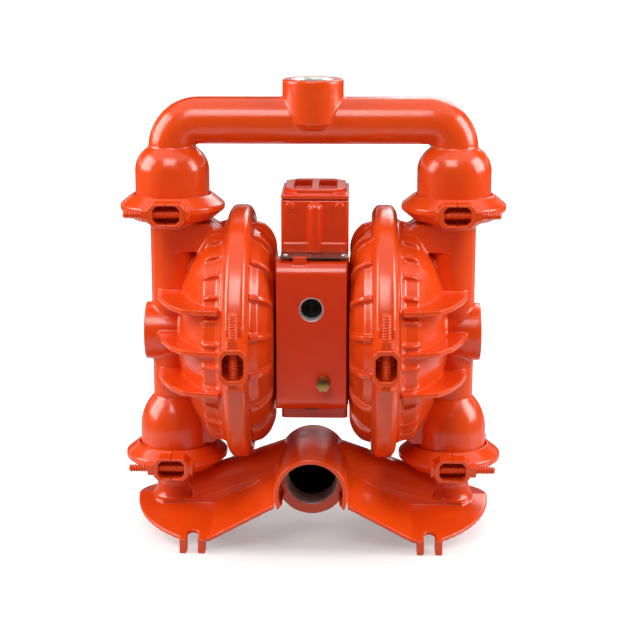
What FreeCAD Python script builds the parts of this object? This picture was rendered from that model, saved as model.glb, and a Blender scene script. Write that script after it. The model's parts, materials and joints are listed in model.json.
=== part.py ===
import FreeCAD, Part
import math
import os

# Air operated diaphragm pump, clamped, 1-1/2 in. Millimetres, +Z up, X along the shaft, -Y is the front
# with the air inlet and the liquid inlet. The origin is on the floor under the middle of the pump.

# Main lines
AXIS_Z = 196.5          # shaft axis above the floor
RIM_X = 69.0            # middle plane of each diaphragm
COLUMN_X = 135.3        # axis of each liquid column
VALVE_RISE = 124.0      # valve joints above and below the shaft axis
PIPE_Z = 402.5          # axis of the horizontal discharge pipe
TOP_Z = 442.0           # face of the discharge port
FIT = 0.3               # gap between rigid parts that are assembled by hand
RUNNING = 0.05          # radial clearance of sliding fits
WALL = 6.0              # casting wall

# Diaphragm joint, held by the large clamps
RIM_R = 116.5
RIM_EDGE = 3.5          # width of the flange edge on each side of the diaphragm
RIM_STEP = 7.0          # height of the clamped slope
RIM_SLOPE = 3.5         # axial run of the clamped slope
DIAPHRAGM_T = 4.0
BEAD_RISE = 1.6
RIM_NECK_R = RIM_R - RIM_STEP
BEAD_OUT_R = RIM_R - 8.5
BEAD_IN_R = BEAD_OUT_R - 5.0
CAVITY_R = BEAD_IN_R - 4.5
DISH_R = RIM_R - 13.0   # outside of both dishes beside the band

# Large clamp band
BAND_WALL = 7.0
BAND_R = RIM_R + BAND_WALL
BAND_TOP_HALF = 7.5
BAND_HALF = 12.2
BAND_SHOULDER_R = BAND_R - 7.5
BAND_SPLIT = 2.0
BAND_CLEARANCE = 1.2    # between the band and the inlet manifold's arms
BIG_BOLT_Y = BAND_R + 11.0
BIG_LUG_R = BIG_BOLT_Y + 10.5
BIG_BOLT_R = 4.7
BIG_BOLT_TOP = 48.0
BIG_LUG_GAP = 12.2
BIG_LUG_T = 4.6
BIG_NUT_AF = 15.0
BIG_NUT_T = 7.5
BIG_HEAD_T = 5.0
BIG_LUG_SIDE = 2.6
BIG_LUG_LIP = BIG_LUG_GAP - BAND_SPLIT / 2

# Valve joint, held by the small clamps
PORT_RIM_R = 41.0
PORT_RIM_EDGE = 3.0
PORT_NECK_R = 36.2
PORT_SLOPE = 5.5
PORT_GAP = 1.0          # thickness of the seal ring between the flanges
CLAMP_R = 50.2
CLAMP_EDGE_HALF = 2.5
CLAMP_HALF = 12.0
CLAMP_LIP = 1.9
CLAMP_SPLIT = 1.6
LUG_OUT = 62.5
LUG_IN = 43.0
SMALL_BOLT_Y = 55.6
SMALL_BOLT_R = 3.9
SMALL_LUG_GAP = 12.5
SMALL_LUG_T = 4.6
SMALL_LUG_HALF = 11.0
SMALL_NUT_AF = 12.7
SMALL_NUT_T = 5.8
SMALL_HEAD_T = 4.0
SMALL_HEAD_R = 7.0
SMALL_BOLT_END = 41.0
SMALL_LUG_SIDE = 2.4
SMALL_LUG_LIP = SMALL_LUG_GAP - CLAMP_SPLIT / 2

# Valves
BALL_R = 22.0
CAGE_R = 29.5
CAGE_RIB_T = 5.0
BALL_PLAY = 1.2
SEAT_R = 31.5
SEAT_BORE_R = 16.5
SEAT_T = 10.0
SEAT_CHAMFER = 3.0
DOME_R = 35.5

# Liquid chamber
COLUMN_R = 22.0
COLUMN_BORE_R = 16.0
BOSS_R = 28.0
BOSS_X = 163.0
FIN_T = 5.0
FIN_PITCH = 39.0
FIN_LIFT = 2.0          # the middle fin lies a little above the shaft axis
CHAMBER_RIB_COUNT = 30
CHAMBER_RIB_T = 3.0
WEB_T = 12.0
FAIRING_T = 2 * COLUMN_R    # thick web that joins the column to the dish above and below the ledges
LEDGE_RISE = 82.0       # ledges above and below the shaft axis

# Air chamber
AIR_FACE_X = 35.4
AIR_FACE_R = 72.0
AIR_RIB_COUNT = 18
AIR_RIB_T = 5.0

# Shaft group
SHAFT_R = 11.0
SHAFT_END_R = 7.0
PISTON_R = CAVITY_R - 36.5
INNER_PISTON_T = 7.0
OUTER_PISTON_T = 12.0
BUSH_R = 15.0
SEAL_T = 5.0
SCREW_R = 4.0
SCREW_PCR = 42.0
SCREW_DEPTH = 18.0
SCREW_HEAD_R = 6.5
SCREW_HEAD_T = 4.0

# Centre section, the tall box between the air chambers
BOX_X = 2.5             # the box stands a little to the right of the middle
BOX_HALF = 32.0
BOX_FRONT = -36.0
BOX_REAR = 45.0
BOX_BOTTOM = 118.0
BOX_TOP = 331.0
DRUM_R = 68.0
CHEST_HALF = 22.0       # the exhaust chest inside the box
CHEST_FRONT = -18.0
CHEST_REAR = 32.0
EXHAUST_Z = 240.0
EXHAUST_R = 13.0
EXHAUST_BOSS_R = 19.0
EXHAUST_BOSS_OUT = 18.0
EXHAUST_DEPTH = 16.0
EXHAUST_DUCT_R = 8.0
CAP_T = 4.0
CAP_FRAME_RISE = 5.0

# Air valve body, the block in front of the centre section
VALVE_FRONT = -68.0
VALVE_HALF = 33.0
VALVE_ROOT_HALF = 35.2
VALVE_BOTTOM = 133.0
VALVE_TOP = 278.0
VALVE_ROUND = 15.0
GASKET_T = 1.0
GASKET_INSET = 1.5      # how far the cap's gasket stays back from the box's faces
SPOOL_Y = -48.0
SPOOL_R = 8.5
SPOOL_LENGTH = 100.0
SPOOL_STROKE = 14.0
SPOOL_LAND = 14.0
SPOOL_WAIST = 2.5
END_CAP_T = 9.0
END_CAP_R = 10.5
AIR_INLET_Z = 233.0
AIR_INLET_R = 10.7
AIR_INLET_DEPTH = 11.0
AIR_PASSAGE_R = 5.0
PLUG_X = 11.5
PLUG_Z = 163.0
PLUG_AF = 11.5
PLUG_HEAD_T = 9.0
PLUG_R = 4.5
PLUG_COLLAR_T = 3.5
PLUG_DEPTH = 5.5
PLATE_Z = 280.0
PLATE_T = 1.4
PLATE_SCREW_R = 1.6
PLATE_HEAD_R = 2.6
PLATE_FRONT = -60.0
LUMP_X = -11.0          # cast lug at the plate's front edge
LUMP_HALF = 6.5
LUMP_TOP = 282.5

# Discharge manifold
PIPE_R = 22.5
PIPE_BORE_R = 17.5
BEND_R = 26.0
NECK_R = 24.0
CREASE_Z = 376.5
DOME_SHOULDER_Z = 354.0
PORT_BOSS_R = 29.0
PORT_BOSS_FOOT = 402.0
OUTLET_R = 20.0
OUTLET_DEPTH = 18.0

# Inlet manifold
INLET_Z = 59.5
INLET_R = 24.3
INLET_DEPTH = 28.0
INLET_RING_R = 35.0
INLET_FACE = -48.0
INLET_REAR = 34.0
HOOD_FRONT = -95.5
HOOD_T = 4.5
ARM_START_R = 24.5
ARM_END_R = 20.5
ARM_END_X = 118.0
ARM_END_Z = 31.0
FOOT_HALF = 26.0        # the upright sides under the arms and stubs
ARM_WALL = 5.0
STUB_R = 20.0
SKIRT_T = 4.0
SKIRT_RIM_Z = 14.5
SKIRT_FALL = 0.17       # drop of the skirt towards the front and the rear, per millimetre
SKIRT_FLAT_X = 97.0
SKIRT_ARCH_X = 35.0
SKIRT_ARCH_Z = 48.0
LOBE_X = 72.0
LOBE_R = 102.0
SKIRT_HALF = 90.0
EAR_X = 113.0
EAR_SLOT = 10.4
EAR_LEG = 7.0
EAR_OUT = 4.0
EAR_DEPTH = 14.0

# Heights that follow from the lines above
UPPER_Z = AXIS_Z + VALVE_RISE
LOWER_Z = AXIS_Z - VALVE_RISE
FLANGE_GAP = DIAPHRAGM_T / 2
SHAFT_MID = FreeCAD.Vector(0, 0, AXIS_Z)
RIGHT_COLUMN = FreeCAD.Vector(COLUMN_X, 0, 0)
X_AXIS = FreeCAD.Vector(1, 0, 0)
Y_AXIS = FreeCAD.Vector(0, 1, 0)
Z_AXIS = FreeCAD.Vector(0, 0, 1)
PARTS = "parts"


def vec(x, y, z):
    return FreeCAD.Vector(x, y, z)


def outline(points, place):
    """A closed face. Each item is a point, or a pair (middle, end) for an arc; place turns (a, b) into 3-D."""
    edges = []
    first = points[0]
    here = first
    for item in points[1:] + [first]:
        if isinstance(item[0], tuple):
            middle, end = item
            edges.append(Part.Arc(place(*here), place(*middle), place(*end)).toShape())
        else:
            end = item
            edges.append(Part.makeLine(place(*here), place(*end)))
        here = end
    return Part.Face(Part.Wire(edges))


def turned_x(points):
    """Revolves an (x, radius) outline about the shaft axis."""
    return outline(points, lambda x, r: vec(x, 0, AXIS_Z + r)).revolve(SHAFT_MID, X_AXIS, 360)


def turned_z(points, centre=FreeCAD.Vector(0, 0, 0)):
    """Revolves a (radius, z) outline about a vertical axis through centre."""
    face = outline(points, lambda r, z: vec(centre.x + r, centre.y, centre.z + z))
    return face.revolve(centre, Z_AXIS, 360)


def turned_y(points, x, z):
    """Revolves a (radius, y) outline about an axis along Y at x and z."""
    face = outline(points, lambda r, y: vec(x + r, y, z))
    return face.revolve(vec(x, 0, z), Y_AXIS, 360)


def plate_z(points, z, thickness):
    """An (x, y) outline, thickness upwards from z."""
    return outline(points, lambda x, y: vec(x, y, z)).extrude(vec(0, 0, thickness))


def plate_y(points, y, thickness):
    """An (x, z) outline, thickness towards +Y from y."""
    return outline(points, lambda x, z: vec(x, y, z)).extrude(vec(0, thickness, 0))


def plate_x(points, x, thickness):
    """A (y, z) outline, thickness towards +X from x."""
    return outline(points, lambda y, z: vec(x, y, z)).extrude(vec(thickness, 0, 0))


def block(x0, x1, y0, y1, z0, z1):
    return Part.makeBox(x1 - x0, y1 - y0, z1 - z0, vec(x0, y0, z0))


def rod(radius, start, end):
    return Part.makeCylinder(radius, (end - start).Length, start, end - start)


def hexagon(across_flats, start, end):
    """A hexagonal prism from start to end."""
    corner = across_flats / math.sqrt(3)
    length = (end - start).Length
    points = [vec(corner * math.cos(math.radians(a)), corner * math.sin(math.radians(a)), 0)
              for a in range(0, 420, 60)]
    prism = Part.Face(Part.makePolygon(points)).extrude(vec(0, 0, length))
    prism.Placement = FreeCAD.Placement(start, FreeCAD.Rotation(Z_AXIS, end - start))
    return prism


def joined(shapes):
    return shapes[0].multiFuse(shapes[1:]).removeSplitter()


def mirrored(shape, normal=X_AXIS):
    return shape.mirror(vec(0, 0, 0), normal)


def both_sides(shape, normal=X_AXIS):
    return [shape, mirrored(shape, normal)]


def around_x(shape, count, skipped=()):
    """Copies of a shape, evenly spaced about the shaft axis."""
    copies = []
    for i in range(count):
        if i in skipped:
            continue
        copy = shape.copy()
        copy.rotate(SHAFT_MID, X_AXIS, 360.0 * i / count)
        copies.append(copy)
    return copies


def save(name, shape):
    """Writes one node; a list of shapes becomes a group of separate solids."""
    if isinstance(shape, list):
        shape = Part.makeCompound(shape)
    shape.exportStep(os.path.join(PARTS, name + ".step"))


def valve_flange(side):
    """Outline points of a clamped flange from the rim inwards; side is 1 above the joint and -1 below."""
    return [
        (PORT_RIM_R, side * PORT_GAP / 2),
        (PORT_RIM_R, side * (PORT_GAP / 2 + PORT_RIM_EDGE)),
        (PORT_NECK_R, side * (PORT_GAP / 2 + PORT_RIM_EDGE + PORT_SLOPE)),
    ]


def seat_recess(side):
    """The pocket in a flange that takes half of the valve seat."""
    depth = SEAT_T / 2
    low, high = sorted((0, side * depth))
    return Part.makeCylinder(SEAT_R + FIT, high - low, vec(0, 0, low))


def cage(base_z, shoulder_z, top_z, top_r):
    """The hollow in which a ball lifts, with four guide ribs left standing; heights from the joint."""
    space = turned_z([(0, base_z), (CAGE_R, base_z), (CAGE_R, shoulder_z), (top_r, top_z), (0, top_z)])
    keep = Part.makeCylinder(BALL_R + BALL_PLAY, top_z - base_z, vec(0, 0, base_z))
    for turn in (0, 90):
        rib = block(-CAGE_R - 1, CAGE_R + 1, -CAGE_RIB_T / 2, CAGE_RIB_T / 2, base_z, top_z)
        rib.rotate(vec(0, 0, 0), Z_AXIS, 45 + turn)
        space = space.cut(rib.cut(keep))
    return space


def clamp_lug(gap, thickness, inner, outer, half_width, side, lip, hole_y, hole_r):
    """A lug on the +X side of the split plane x = 0. Its lips reach back to the split, so that two lugs
    frame an eight-sided window round the bolt."""
    core = half_width - side
    corner = half_width * 0.42
    bevel = core * 0.42
    near = gap - lip
    far = gap + thickness
    frame = [
        (near, -half_width), (far - corner, -half_width), (far, -half_width + corner),
        (far, half_width - corner), (far - corner, half_width), (near, half_width),
        (near, core), (gap - bevel, core), (gap, core - bevel), (gap, -core + bevel), (gap - bevel, -core),
        (near, -core),
    ]
    lug = outline(frame, lambda x, z: vec(x, -outer, z)).extrude(vec(0, outer - inner, 0))
    return lug.cut(rod(hole_r, vec(0, -hole_y, 0), vec(far + 1, -hole_y, 0)))


def small_clamp_half():
    """The outer half of a small clamp about the origin; its lugs are at the front and the rear."""
    neck = PORT_NECK_R + FIT + 0.1
    rim = PORT_RIM_R + FIT
    edge = PORT_GAP / 2 + PORT_RIM_EDGE + FIT
    slope = edge + PORT_SLOPE
    section = [
        (neck, CLAMP_HALF), (neck + CLAMP_LIP, CLAMP_HALF), (CLAMP_R, CLAMP_EDGE_HALF),
        (CLAMP_R, -CLAMP_EDGE_HALF), (neck + CLAMP_LIP, -CLAMP_HALF), (neck, -CLAMP_HALF),
        (neck, -slope), (rim, -edge), (rim, edge), (neck, slope),
    ]
    ring = turned_z(section)
    lug = clamp_lug(SMALL_LUG_GAP, SMALL_LUG_T, LUG_IN, LUG_OUT, SMALL_LUG_HALF,
                    SMALL_LUG_SIDE, SMALL_LUG_LIP, SMALL_BOLT_Y, SMALL_BOLT_R + FIT)
    span = CLAMP_R + 1
    kept = block(CLAMP_SPLIT / 2, span, -span, span, -CLAMP_HALF - 1, CLAMP_HALF + 1)
    half = ring.common(kept)
    hollow = Part.makeCylinder(rim, 4 * CLAMP_HALF, vec(0, 0, -2 * CLAMP_HALF))
    lugs = [piece.cut(hollow) for piece in both_sides(lug, Y_AXIS)]
    return joined([half] + lugs)


def large_clamp_half():
    """The upper half of a large clamp about the shaft axis, its band in the plane x = 0."""
    neck = RIM_NECK_R + FIT + 0.1
    rim = RIM_R + FIT
    edge = FLANGE_GAP + RIM_EDGE + FIT
    slope = edge + RIM_SLOPE
    section = [
        (-BAND_HALF, neck), (-BAND_HALF, BAND_SHOULDER_R), (-BAND_TOP_HALF, BAND_R),
        (BAND_TOP_HALF, BAND_R), (BAND_HALF, BAND_SHOULDER_R), (BAND_HALF, neck),
        (slope, neck), (edge, rim), (-edge, rim), (-slope, neck),
    ]
    ring = turned_x(section)
    span = BAND_R + 1
    kept = block(-BAND_HALF - 1, BAND_HALF + 1, -span, span, AXIS_Z + BAND_SPLIT / 2, AXIS_Z + span)
    lug = clamp_lug(BIG_LUG_GAP, BIG_LUG_T, rim, BIG_LUG_R, BAND_HALF,
                    BIG_LUG_SIDE, BIG_LUG_LIP, BIG_BOLT_Y, BIG_BOLT_R + FIT)
    lug.rotate(vec(0, 0, 0), Y_AXIS, -90)
    lug.translate(SHAFT_MID)
    return joined([ring.common(kept)] + both_sides(lug, Y_AXIS))


def fastener(radius, head, nut_af, nut_t, near, far, end):
    """A bolt and its nut along +X through lugs whose outer faces are at near and far."""
    bolt = joined([rod(radius, vec(near - 0.5, 0, 0), vec(end, 0, 0)), head])
    nut = hexagon(nut_af, vec(far, 0, 0), vec(far + nut_t, 0, 0))
    return bolt, nut.cut(rod(radius + RUNNING, vec(far - 1, 0, 0), vec(far + nut_t + 1, 0, 0)))


def small_clamp_bolt():
    face = SMALL_LUG_GAP + SMALL_LUG_T
    head = rod(SMALL_HEAD_R, vec(-face - SMALL_HEAD_T, 0, 0), vec(-face, 0, 0))
    return fastener(SMALL_BOLT_R, head, SMALL_NUT_AF, SMALL_NUT_T, -face, face, SMALL_BOLT_END)


def large_clamp_bolt():
    face = BIG_LUG_GAP + BIG_LUG_T
    head = hexagon(BIG_NUT_AF, vec(-face - BIG_HEAD_T, 0, 0), vec(-face, 0, 0))
    return fastener(BIG_BOLT_R, head, BIG_NUT_AF, BIG_NUT_T, -face, face, BIG_BOLT_TOP)


def placed(shape, place, turn=None):
    """A copy, turned about an axis through the origin when turn is (axis, degrees), then moved."""
    copy = shape.copy()
    if turn:
        copy.rotate(vec(0, 0, 0), turn[0], turn[1])
    copy.translate(place)
    return copy


def dish_outline():
    """Outside of the liquid chamber's dish from the diaphragm joint outwards, as (x, radius)."""
    face = RIM_X + FLANGE_GAP
    slope_x = face + RIM_EDGE + RIM_SLOPE
    return [
        (face, 0), (face, RIM_R), (face + RIM_EDGE, RIM_R), (slope_x, RIM_NECK_R),
        (RIM_X + BAND_HALF + 2, RIM_NECK_R), (RIM_X + 18, DISH_R), (RIM_X + 30, DISH_R - 3),
        ((RIM_X + 43, DISH_R - 23), (RIM_X + 57, DISH_R - 58)), (RIM_X + 61, DISH_R - 83), (RIM_X + 61, 0),
    ]


def fin_outline(reach):
    """One fin in plan, both sides of the column; reach lists (x, y) from the band outwards."""
    start = RIM_X + BAND_HALF + 3
    front = [(start, -reach[0][1])] + [(x, -y) for x, y in reach]
    rear = [(x, y) for x, y in reversed(reach)] + [(start, reach[0][1])]
    return front + rear


def liquid_chamber():
    """The right liquid chamber: dish, column, lower ball cage, side boss, fins and ribs, then its hollows."""
    dish = turned_x(dish_outline())
    neck_low = PORT_GAP / 2 + PORT_RIM_EDGE + PORT_SLOPE
    dome_top = 60.0
    column = turned_z(
        [(0, LOWER_Z + PORT_GAP / 2)]
        + [(r, LOWER_Z + z) for r, z in valve_flange(1)]
        + [(DOME_R, LOWER_Z + neck_low), (DOME_R, LOWER_Z + 28),
           ((31.0, LOWER_Z + 47), (COLUMN_R, LOWER_Z + dome_top)),
           (COLUMN_R, UPPER_Z - 19)]
        + [(r, UPPER_Z + z) for r, z in reversed(valve_flange(-1))]
        + [(0, UPPER_Z - PORT_GAP / 2)],
        RIGHT_COLUMN,
    )
    boss = rod(BOSS_R, vec(COLUMN_X - 15, 0, AXIS_Z), vec(BOSS_X, 0, AXIS_Z))
    web_foot = RIM_X + 17
    web = plate_y(
        [(web_foot, AXIS_Z + 95), (web_foot, AXIS_Z + 103), (98.5, AXIS_Z + 110),
         (COLUMN_X, AXIS_Z + 117), (COLUMN_X, AXIS_Z - 117), (98.5, AXIS_Z - 110),
         (web_foot, AXIS_Z - 103), (web_foot, AXIS_Z - 95), (RIM_X + 45, AXIS_Z - 60),
         (RIM_X + 45, AXIS_Z + 60)],
        -WEB_T / 2, WEB_T)
    fairing = plate_y(
        [(web_foot, AXIS_Z + LEDGE_RISE), (web_foot, AXIS_Z + 101), (98.5, AXIS_Z + 109),
         (COLUMN_X, AXIS_Z + 110), (COLUMN_X, AXIS_Z + LEDGE_RISE)], -FAIRING_T / 2, FAIRING_T)
    fairings = [fairing, placed(fairing.mirror(SHAFT_MID, Z_AXIS), vec(0, 0, 0))]
    fin = fin_outline([(86, 107), (104, 104), (119, 98.5), (132, 81), (142.5, 56), (148.3, 33), (149, 15), (140, 8)])
    fins = [plate_z(fin, AXIS_Z + FIN_LIFT + side * FIN_PITCH - FIN_T / 2, FIN_T) for side in (-1, 0, 1)]
    rib = plate_y(
        [(RIM_X + 12, AXIS_Z + DISH_R - 6), (RIM_X + 12, AXIS_Z + RIM_NECK_R), (RIM_X + 21, AXIS_Z + DISH_R + 3.5),
         ((RIM_X + 28, AXIS_Z + DISH_R + 1), (RIM_X + 33, AXIS_Z + DISH_R - 6)), (RIM_X + 30, AXIS_Z + DISH_R - 10)],
        -CHAMBER_RIB_T / 2, CHAMBER_RIB_T)
    ribs = around_x(rib, CHAMBER_RIB_COUNT)
    body = joined([dish, column, boss, web] + fairings + fins + ribs)
    face = RIM_X + FLANGE_GAP
    cavity = turned_x([
        (face - 1, 0), (face - 1, CAVITY_R), (face, CAVITY_R), (RIM_X + 18, DISH_R - WALL),
        (RIM_X + 28, DISH_R - 3 - WALL), (RIM_X + 40, DISH_R - 29), (RIM_X + 51, DISH_R - 60), (RIM_X + 53, 0)])
    groove = turned_x([
        (face - 1, BEAD_IN_R), (face + BEAD_RISE, BEAD_IN_R), (face + BEAD_RISE, BEAD_OUT_R),
        (face - 1, BEAD_OUT_R)])
    bore = rod(COLUMN_BORE_R, vec(COLUMN_X, 0, LOWER_Z + 40), vec(COLUMN_X, 0, UPPER_Z + 1))
    lower = cage(-1, 32, 48, COLUMN_BORE_R).fuse(seat_recess(1))
    lower.translate(vec(COLUMN_X, 0, LOWER_Z))
    upper = seat_recess(-1)
    upper.translate(vec(COLUMN_X, 0, UPPER_Z))
    passage = rod(COLUMN_BORE_R, vec(RIM_X + 40, 0, AXIS_Z), vec(COLUMN_X, 0, AXIS_Z))
    return body.cut([cavity, groove, bore, lower, upper, passage]).removeSplitter()


def air_chamber():
    """The right air chamber: ribbed dish with a flat face against the centre section."""
    face = RIM_X - FLANGE_GAP
    slope_x = face - RIM_EDGE - RIM_SLOPE
    band_side = RIM_X - BAND_HALF - 0.5
    shell = turned_x([
        (AIR_FACE_X, BUSH_R), (AIR_FACE_X, AIR_FACE_R), (AIR_FACE_X + 5, AIR_FACE_R + 17),
        (AIR_FACE_X + 14, DISH_R - 3), (band_side, DISH_R + 1), (slope_x, RIM_NECK_R),
        (face - RIM_EDGE, RIM_R), (face, RIM_R), (face, CAVITY_R), (RIM_X - 14, CAVITY_R - 4),
        (AIR_FACE_X + WALL + 2, AIR_FACE_R - WALL), (AIR_FACE_X + WALL + 2, BUSH_R)])
    rib = plate_y(
        [(AIR_FACE_X + 0.6, AXIS_Z + AIR_FACE_R - 4), (AIR_FACE_X + 1, AXIS_Z + AIR_FACE_R + 5),
         ((AIR_FACE_X + 4, AXIS_Z + DISH_R - 7), (AIR_FACE_X + 13, AXIS_Z + DISH_R + 3)),
         (band_side, AXIS_Z + DISH_R + 5.5), (band_side, AXIS_Z + DISH_R - 1), (AIR_FACE_X + 15, AXIS_Z + DISH_R - 6),
         (AIR_FACE_X + 4, AXIS_Z + AIR_FACE_R - 2)], -AIR_RIB_T / 2, AIR_RIB_T)
    body = joined([shell] + around_x(rib, AIR_RIB_COUNT))
    groove = turned_x([
        (face + 1, BEAD_IN_R), (face - BEAD_RISE, BEAD_IN_R), (face - BEAD_RISE, BEAD_OUT_R),
        (face + 1, BEAD_OUT_R)])
    hole = rod(SCREW_R + FIT, vec(AIR_FACE_X - 1, 0, AXIS_Z + SCREW_PCR),
               vec(AIR_FACE_X + WALL + 3, 0, AXIS_Z + SCREW_PCR))
    hole.rotate(SHAFT_MID, X_AXIS, 45)
    return body.cut([groove] + around_x(hole, 4)).removeSplitter()


def diaphragm():
    """The right diaphragm at mid stroke: beaded rim, one convolution and a flat middle between the pistons."""
    half = DIAPHRAGM_T / 2
    bulge = 8.0
    waist = PISTON_R + 1
    middle_r = (waist + CAVITY_R) / 2
    return turned_x([
        (RIM_X - half, SHAFT_END_R + FIT), (RIM_X - half, waist),
        ((RIM_X - half + bulge, middle_r), (RIM_X - half, CAVITY_R)),
        (RIM_X - half, BEAD_IN_R), (RIM_X - half - BEAD_RISE, BEAD_IN_R),
        (RIM_X - half - BEAD_RISE, BEAD_OUT_R), (RIM_X - half, BEAD_OUT_R), (RIM_X - half, RIM_R - 2),
        (RIM_X + half, RIM_R - 2), (RIM_X + half, BEAD_OUT_R), (RIM_X + half + BEAD_RISE, BEAD_OUT_R),
        (RIM_X + half + BEAD_RISE, BEAD_IN_R), (RIM_X + half, BEAD_IN_R), (RIM_X + half, CAVITY_R),
        ((RIM_X + half + bulge, middle_r), (RIM_X + half, waist)), (RIM_X + half, SHAFT_END_R + FIT)])


def inner_piston():
    """The plate on the air side of the right diaphragm."""
    back = RIM_X - DIAPHRAGM_T / 2
    return turned_x([
        (back, SHAFT_END_R + RUNNING), (back, PISTON_R), (back - 3, PISTON_R),
        (back - INNER_PISTON_T, PISTON_R - 22), (back - INNER_PISTON_T, SHAFT_END_R + RUNNING)])


def outer_piston():
    """The domed plate on the liquid side, screwed on the end of the shaft."""
    front = RIM_X + DIAPHRAGM_T / 2
    return turned_x([
        (front, SHAFT_END_R + RUNNING), (front, PISTON_R), (front + 3, PISTON_R),
        (front + OUTER_PISTON_T, PISTON_R - 34), (front + OUTER_PISTON_T, 0),
        (front + OUTER_PISTON_T - 4, 0), (front + OUTER_PISTON_T - 4, SHAFT_END_R + RUNNING)])


def shaft():
    """The main shaft with a turned-down stud at each end."""
    shoulder = RIM_X - DIAPHRAGM_T / 2 - INNER_PISTON_T
    tip = RIM_X + DIAPHRAGM_T / 2 + OUTER_PISTON_T - 4.5
    return turned_x([
        (-tip, 0), (-tip, SHAFT_END_R), (-shoulder, SHAFT_END_R), (-shoulder, SHAFT_R),
        (shoulder, SHAFT_R), (shoulder, SHAFT_END_R), (tip, SHAFT_END_R), (tip, 0)])


def sleeve_x(x0, x1, inner, outer):
    return turned_x([(x0, inner), (x0, outer), (x1, outer), (x1, inner)])


def valve_profile():
    """Side view of the air valve body as (y, z), rounded at its front corners."""
    root = BOX_FRONT - GASKET_T
    slack = VALVE_ROUND * (1 - math.sqrt(0.5))
    return [
        (root, VALVE_BOTTOM), (VALVE_FRONT + VALVE_ROUND, VALVE_BOTTOM),
        ((VALVE_FRONT + slack, VALVE_BOTTOM + slack), (VALVE_FRONT, VALVE_BOTTOM + VALVE_ROUND)),
        (VALVE_FRONT, VALVE_TOP - VALVE_ROUND),
        ((VALVE_FRONT + slack, VALVE_TOP - slack), (VALVE_FRONT + VALVE_ROUND, VALVE_TOP)),
        (root, VALVE_TOP),
    ]


def plate_pads():
    """Where the steel plate's two screws stand, as (x, y)."""
    y = (VALVE_FRONT + BOX_FRONT) / 2 + 2
    return [(BOX_X - BOX_HALF + 4.5, y), (BOX_X + BOX_HALF - 4.5, y)]


def air_valve_body():
    """The block with the air inlet: tapered sides, spool bore and the pads for the steel plate."""
    root = BOX_FRONT - GASKET_T
    body = plate_x(valve_profile(), -VALVE_ROOT_HALF, 2 * VALVE_ROOT_HALF)
    taper = plate_z(
        [(-VALVE_ROOT_HALF, root), (-VALVE_HALF, VALVE_FRONT), (VALVE_HALF, VALVE_FRONT),
         (VALVE_ROOT_HALF, root)], VALVE_BOTTOM, VALVE_TOP - VALVE_BOTTOM)
    body = body.common(taper)
    pads = [block(x - 3.5, x + 3.5, y - 6, root, VALVE_TOP - 1, PLATE_Z) for x, y in plate_pads()]
    lump = block(LUMP_X - LUMP_HALF, LUMP_X + LUMP_HALF, PLATE_FRONT - 3, PLATE_FRONT - FIT, VALVE_TOP - 10, LUMP_TOP)
    body = joined([body, lump] + pads)
    chamber = SPOOL_LENGTH + SPOOL_STROKE + 2 * FIT
    bore = Part.makeCylinder(SPOOL_R + RUNNING, END_CAP_T + chamber, vec(0, SPOOL_Y, VALVE_BOTTOM))
    recess = Part.makeCylinder(END_CAP_R, END_CAP_T + 1, vec(0, SPOOL_Y, VALVE_BOTTOM - 1))
    inlet = rod(AIR_INLET_R, vec(0, VALVE_FRONT - 1, AIR_INLET_Z), vec(0, VALVE_FRONT + AIR_INLET_DEPTH, AIR_INLET_Z))
    passage = rod(AIR_PASSAGE_R, vec(0, VALVE_FRONT, AIR_INLET_Z), vec(0, SPOOL_Y, AIR_INLET_Z))
    tapped = rod(PLUG_R, vec(PLUG_X, VALVE_FRONT - 1, PLUG_Z), vec(PLUG_X, VALVE_FRONT + PLUG_DEPTH, PLUG_Z))
    ports = [rod(AIR_PASSAGE_R, vec(0, SPOOL_Y, z), vec(0, root + 1, z)) for z in (AXIS_Z - 24, AXIS_Z + 24)]
    screws = [rod(PLATE_SCREW_R, vec(x, y, PLATE_Z - 6), vec(x, y, PLATE_Z + 1)) for x, y in plate_pads()]
    return body.cut([bore, recess, inlet, passage, tapped] + ports + screws).removeSplitter()


def spool():
    """The sliding main valve, resting on the lower end cap."""
    low = VALVE_BOTTOM + END_CAP_T + FIT
    waist = SPOOL_R - SPOOL_WAIST
    gap = (SPOOL_LENGTH - 3 * SPOOL_LAND) / 2
    points = [(0, low)]
    z = low
    for land in range(3):
        points += [(SPOOL_R, z), (SPOOL_R, z + SPOOL_LAND)]
        z += SPOOL_LAND
        if land < 2:
            points += [(waist, z), (waist, z + gap)]
            z += gap
    points.append((0, z))
    return turned_z(points, vec(0, SPOOL_Y, 0))


def brass_plug():
    """A hexagon plug with a round collar against the valve body."""
    front = VALVE_FRONT - PLUG_COLLAR_T
    return joined([
        rod(PLUG_R, vec(PLUG_X, VALVE_FRONT + PLUG_DEPTH, PLUG_Z), vec(PLUG_X, VALVE_FRONT, PLUG_Z)),
        rod(PLUG_AF / 2 + 1, vec(PLUG_X, VALVE_FRONT, PLUG_Z), vec(PLUG_X, front, PLUG_Z)),
        hexagon(PLUG_AF, vec(PLUG_X, front, PLUG_Z), vec(PLUG_X, front - PLUG_HEAD_T, PLUG_Z)),
    ])


def steel_plate():
    """The thin bare plate above the valve body, behind the cast lug at its front edge."""
    root = BOX_FRONT - FIT
    plate = block(BOX_X - BOX_HALF, BOX_X + BOX_HALF, PLATE_FRONT, root, PLATE_Z, PLATE_Z + PLATE_T)
    holes = [rod(PLATE_SCREW_R + FIT, vec(x, y, PLATE_Z - 1), vec(x, y, PLATE_Z + PLATE_T + 1))
             for x, y in plate_pads()]
    return plate.cut(holes)


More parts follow.
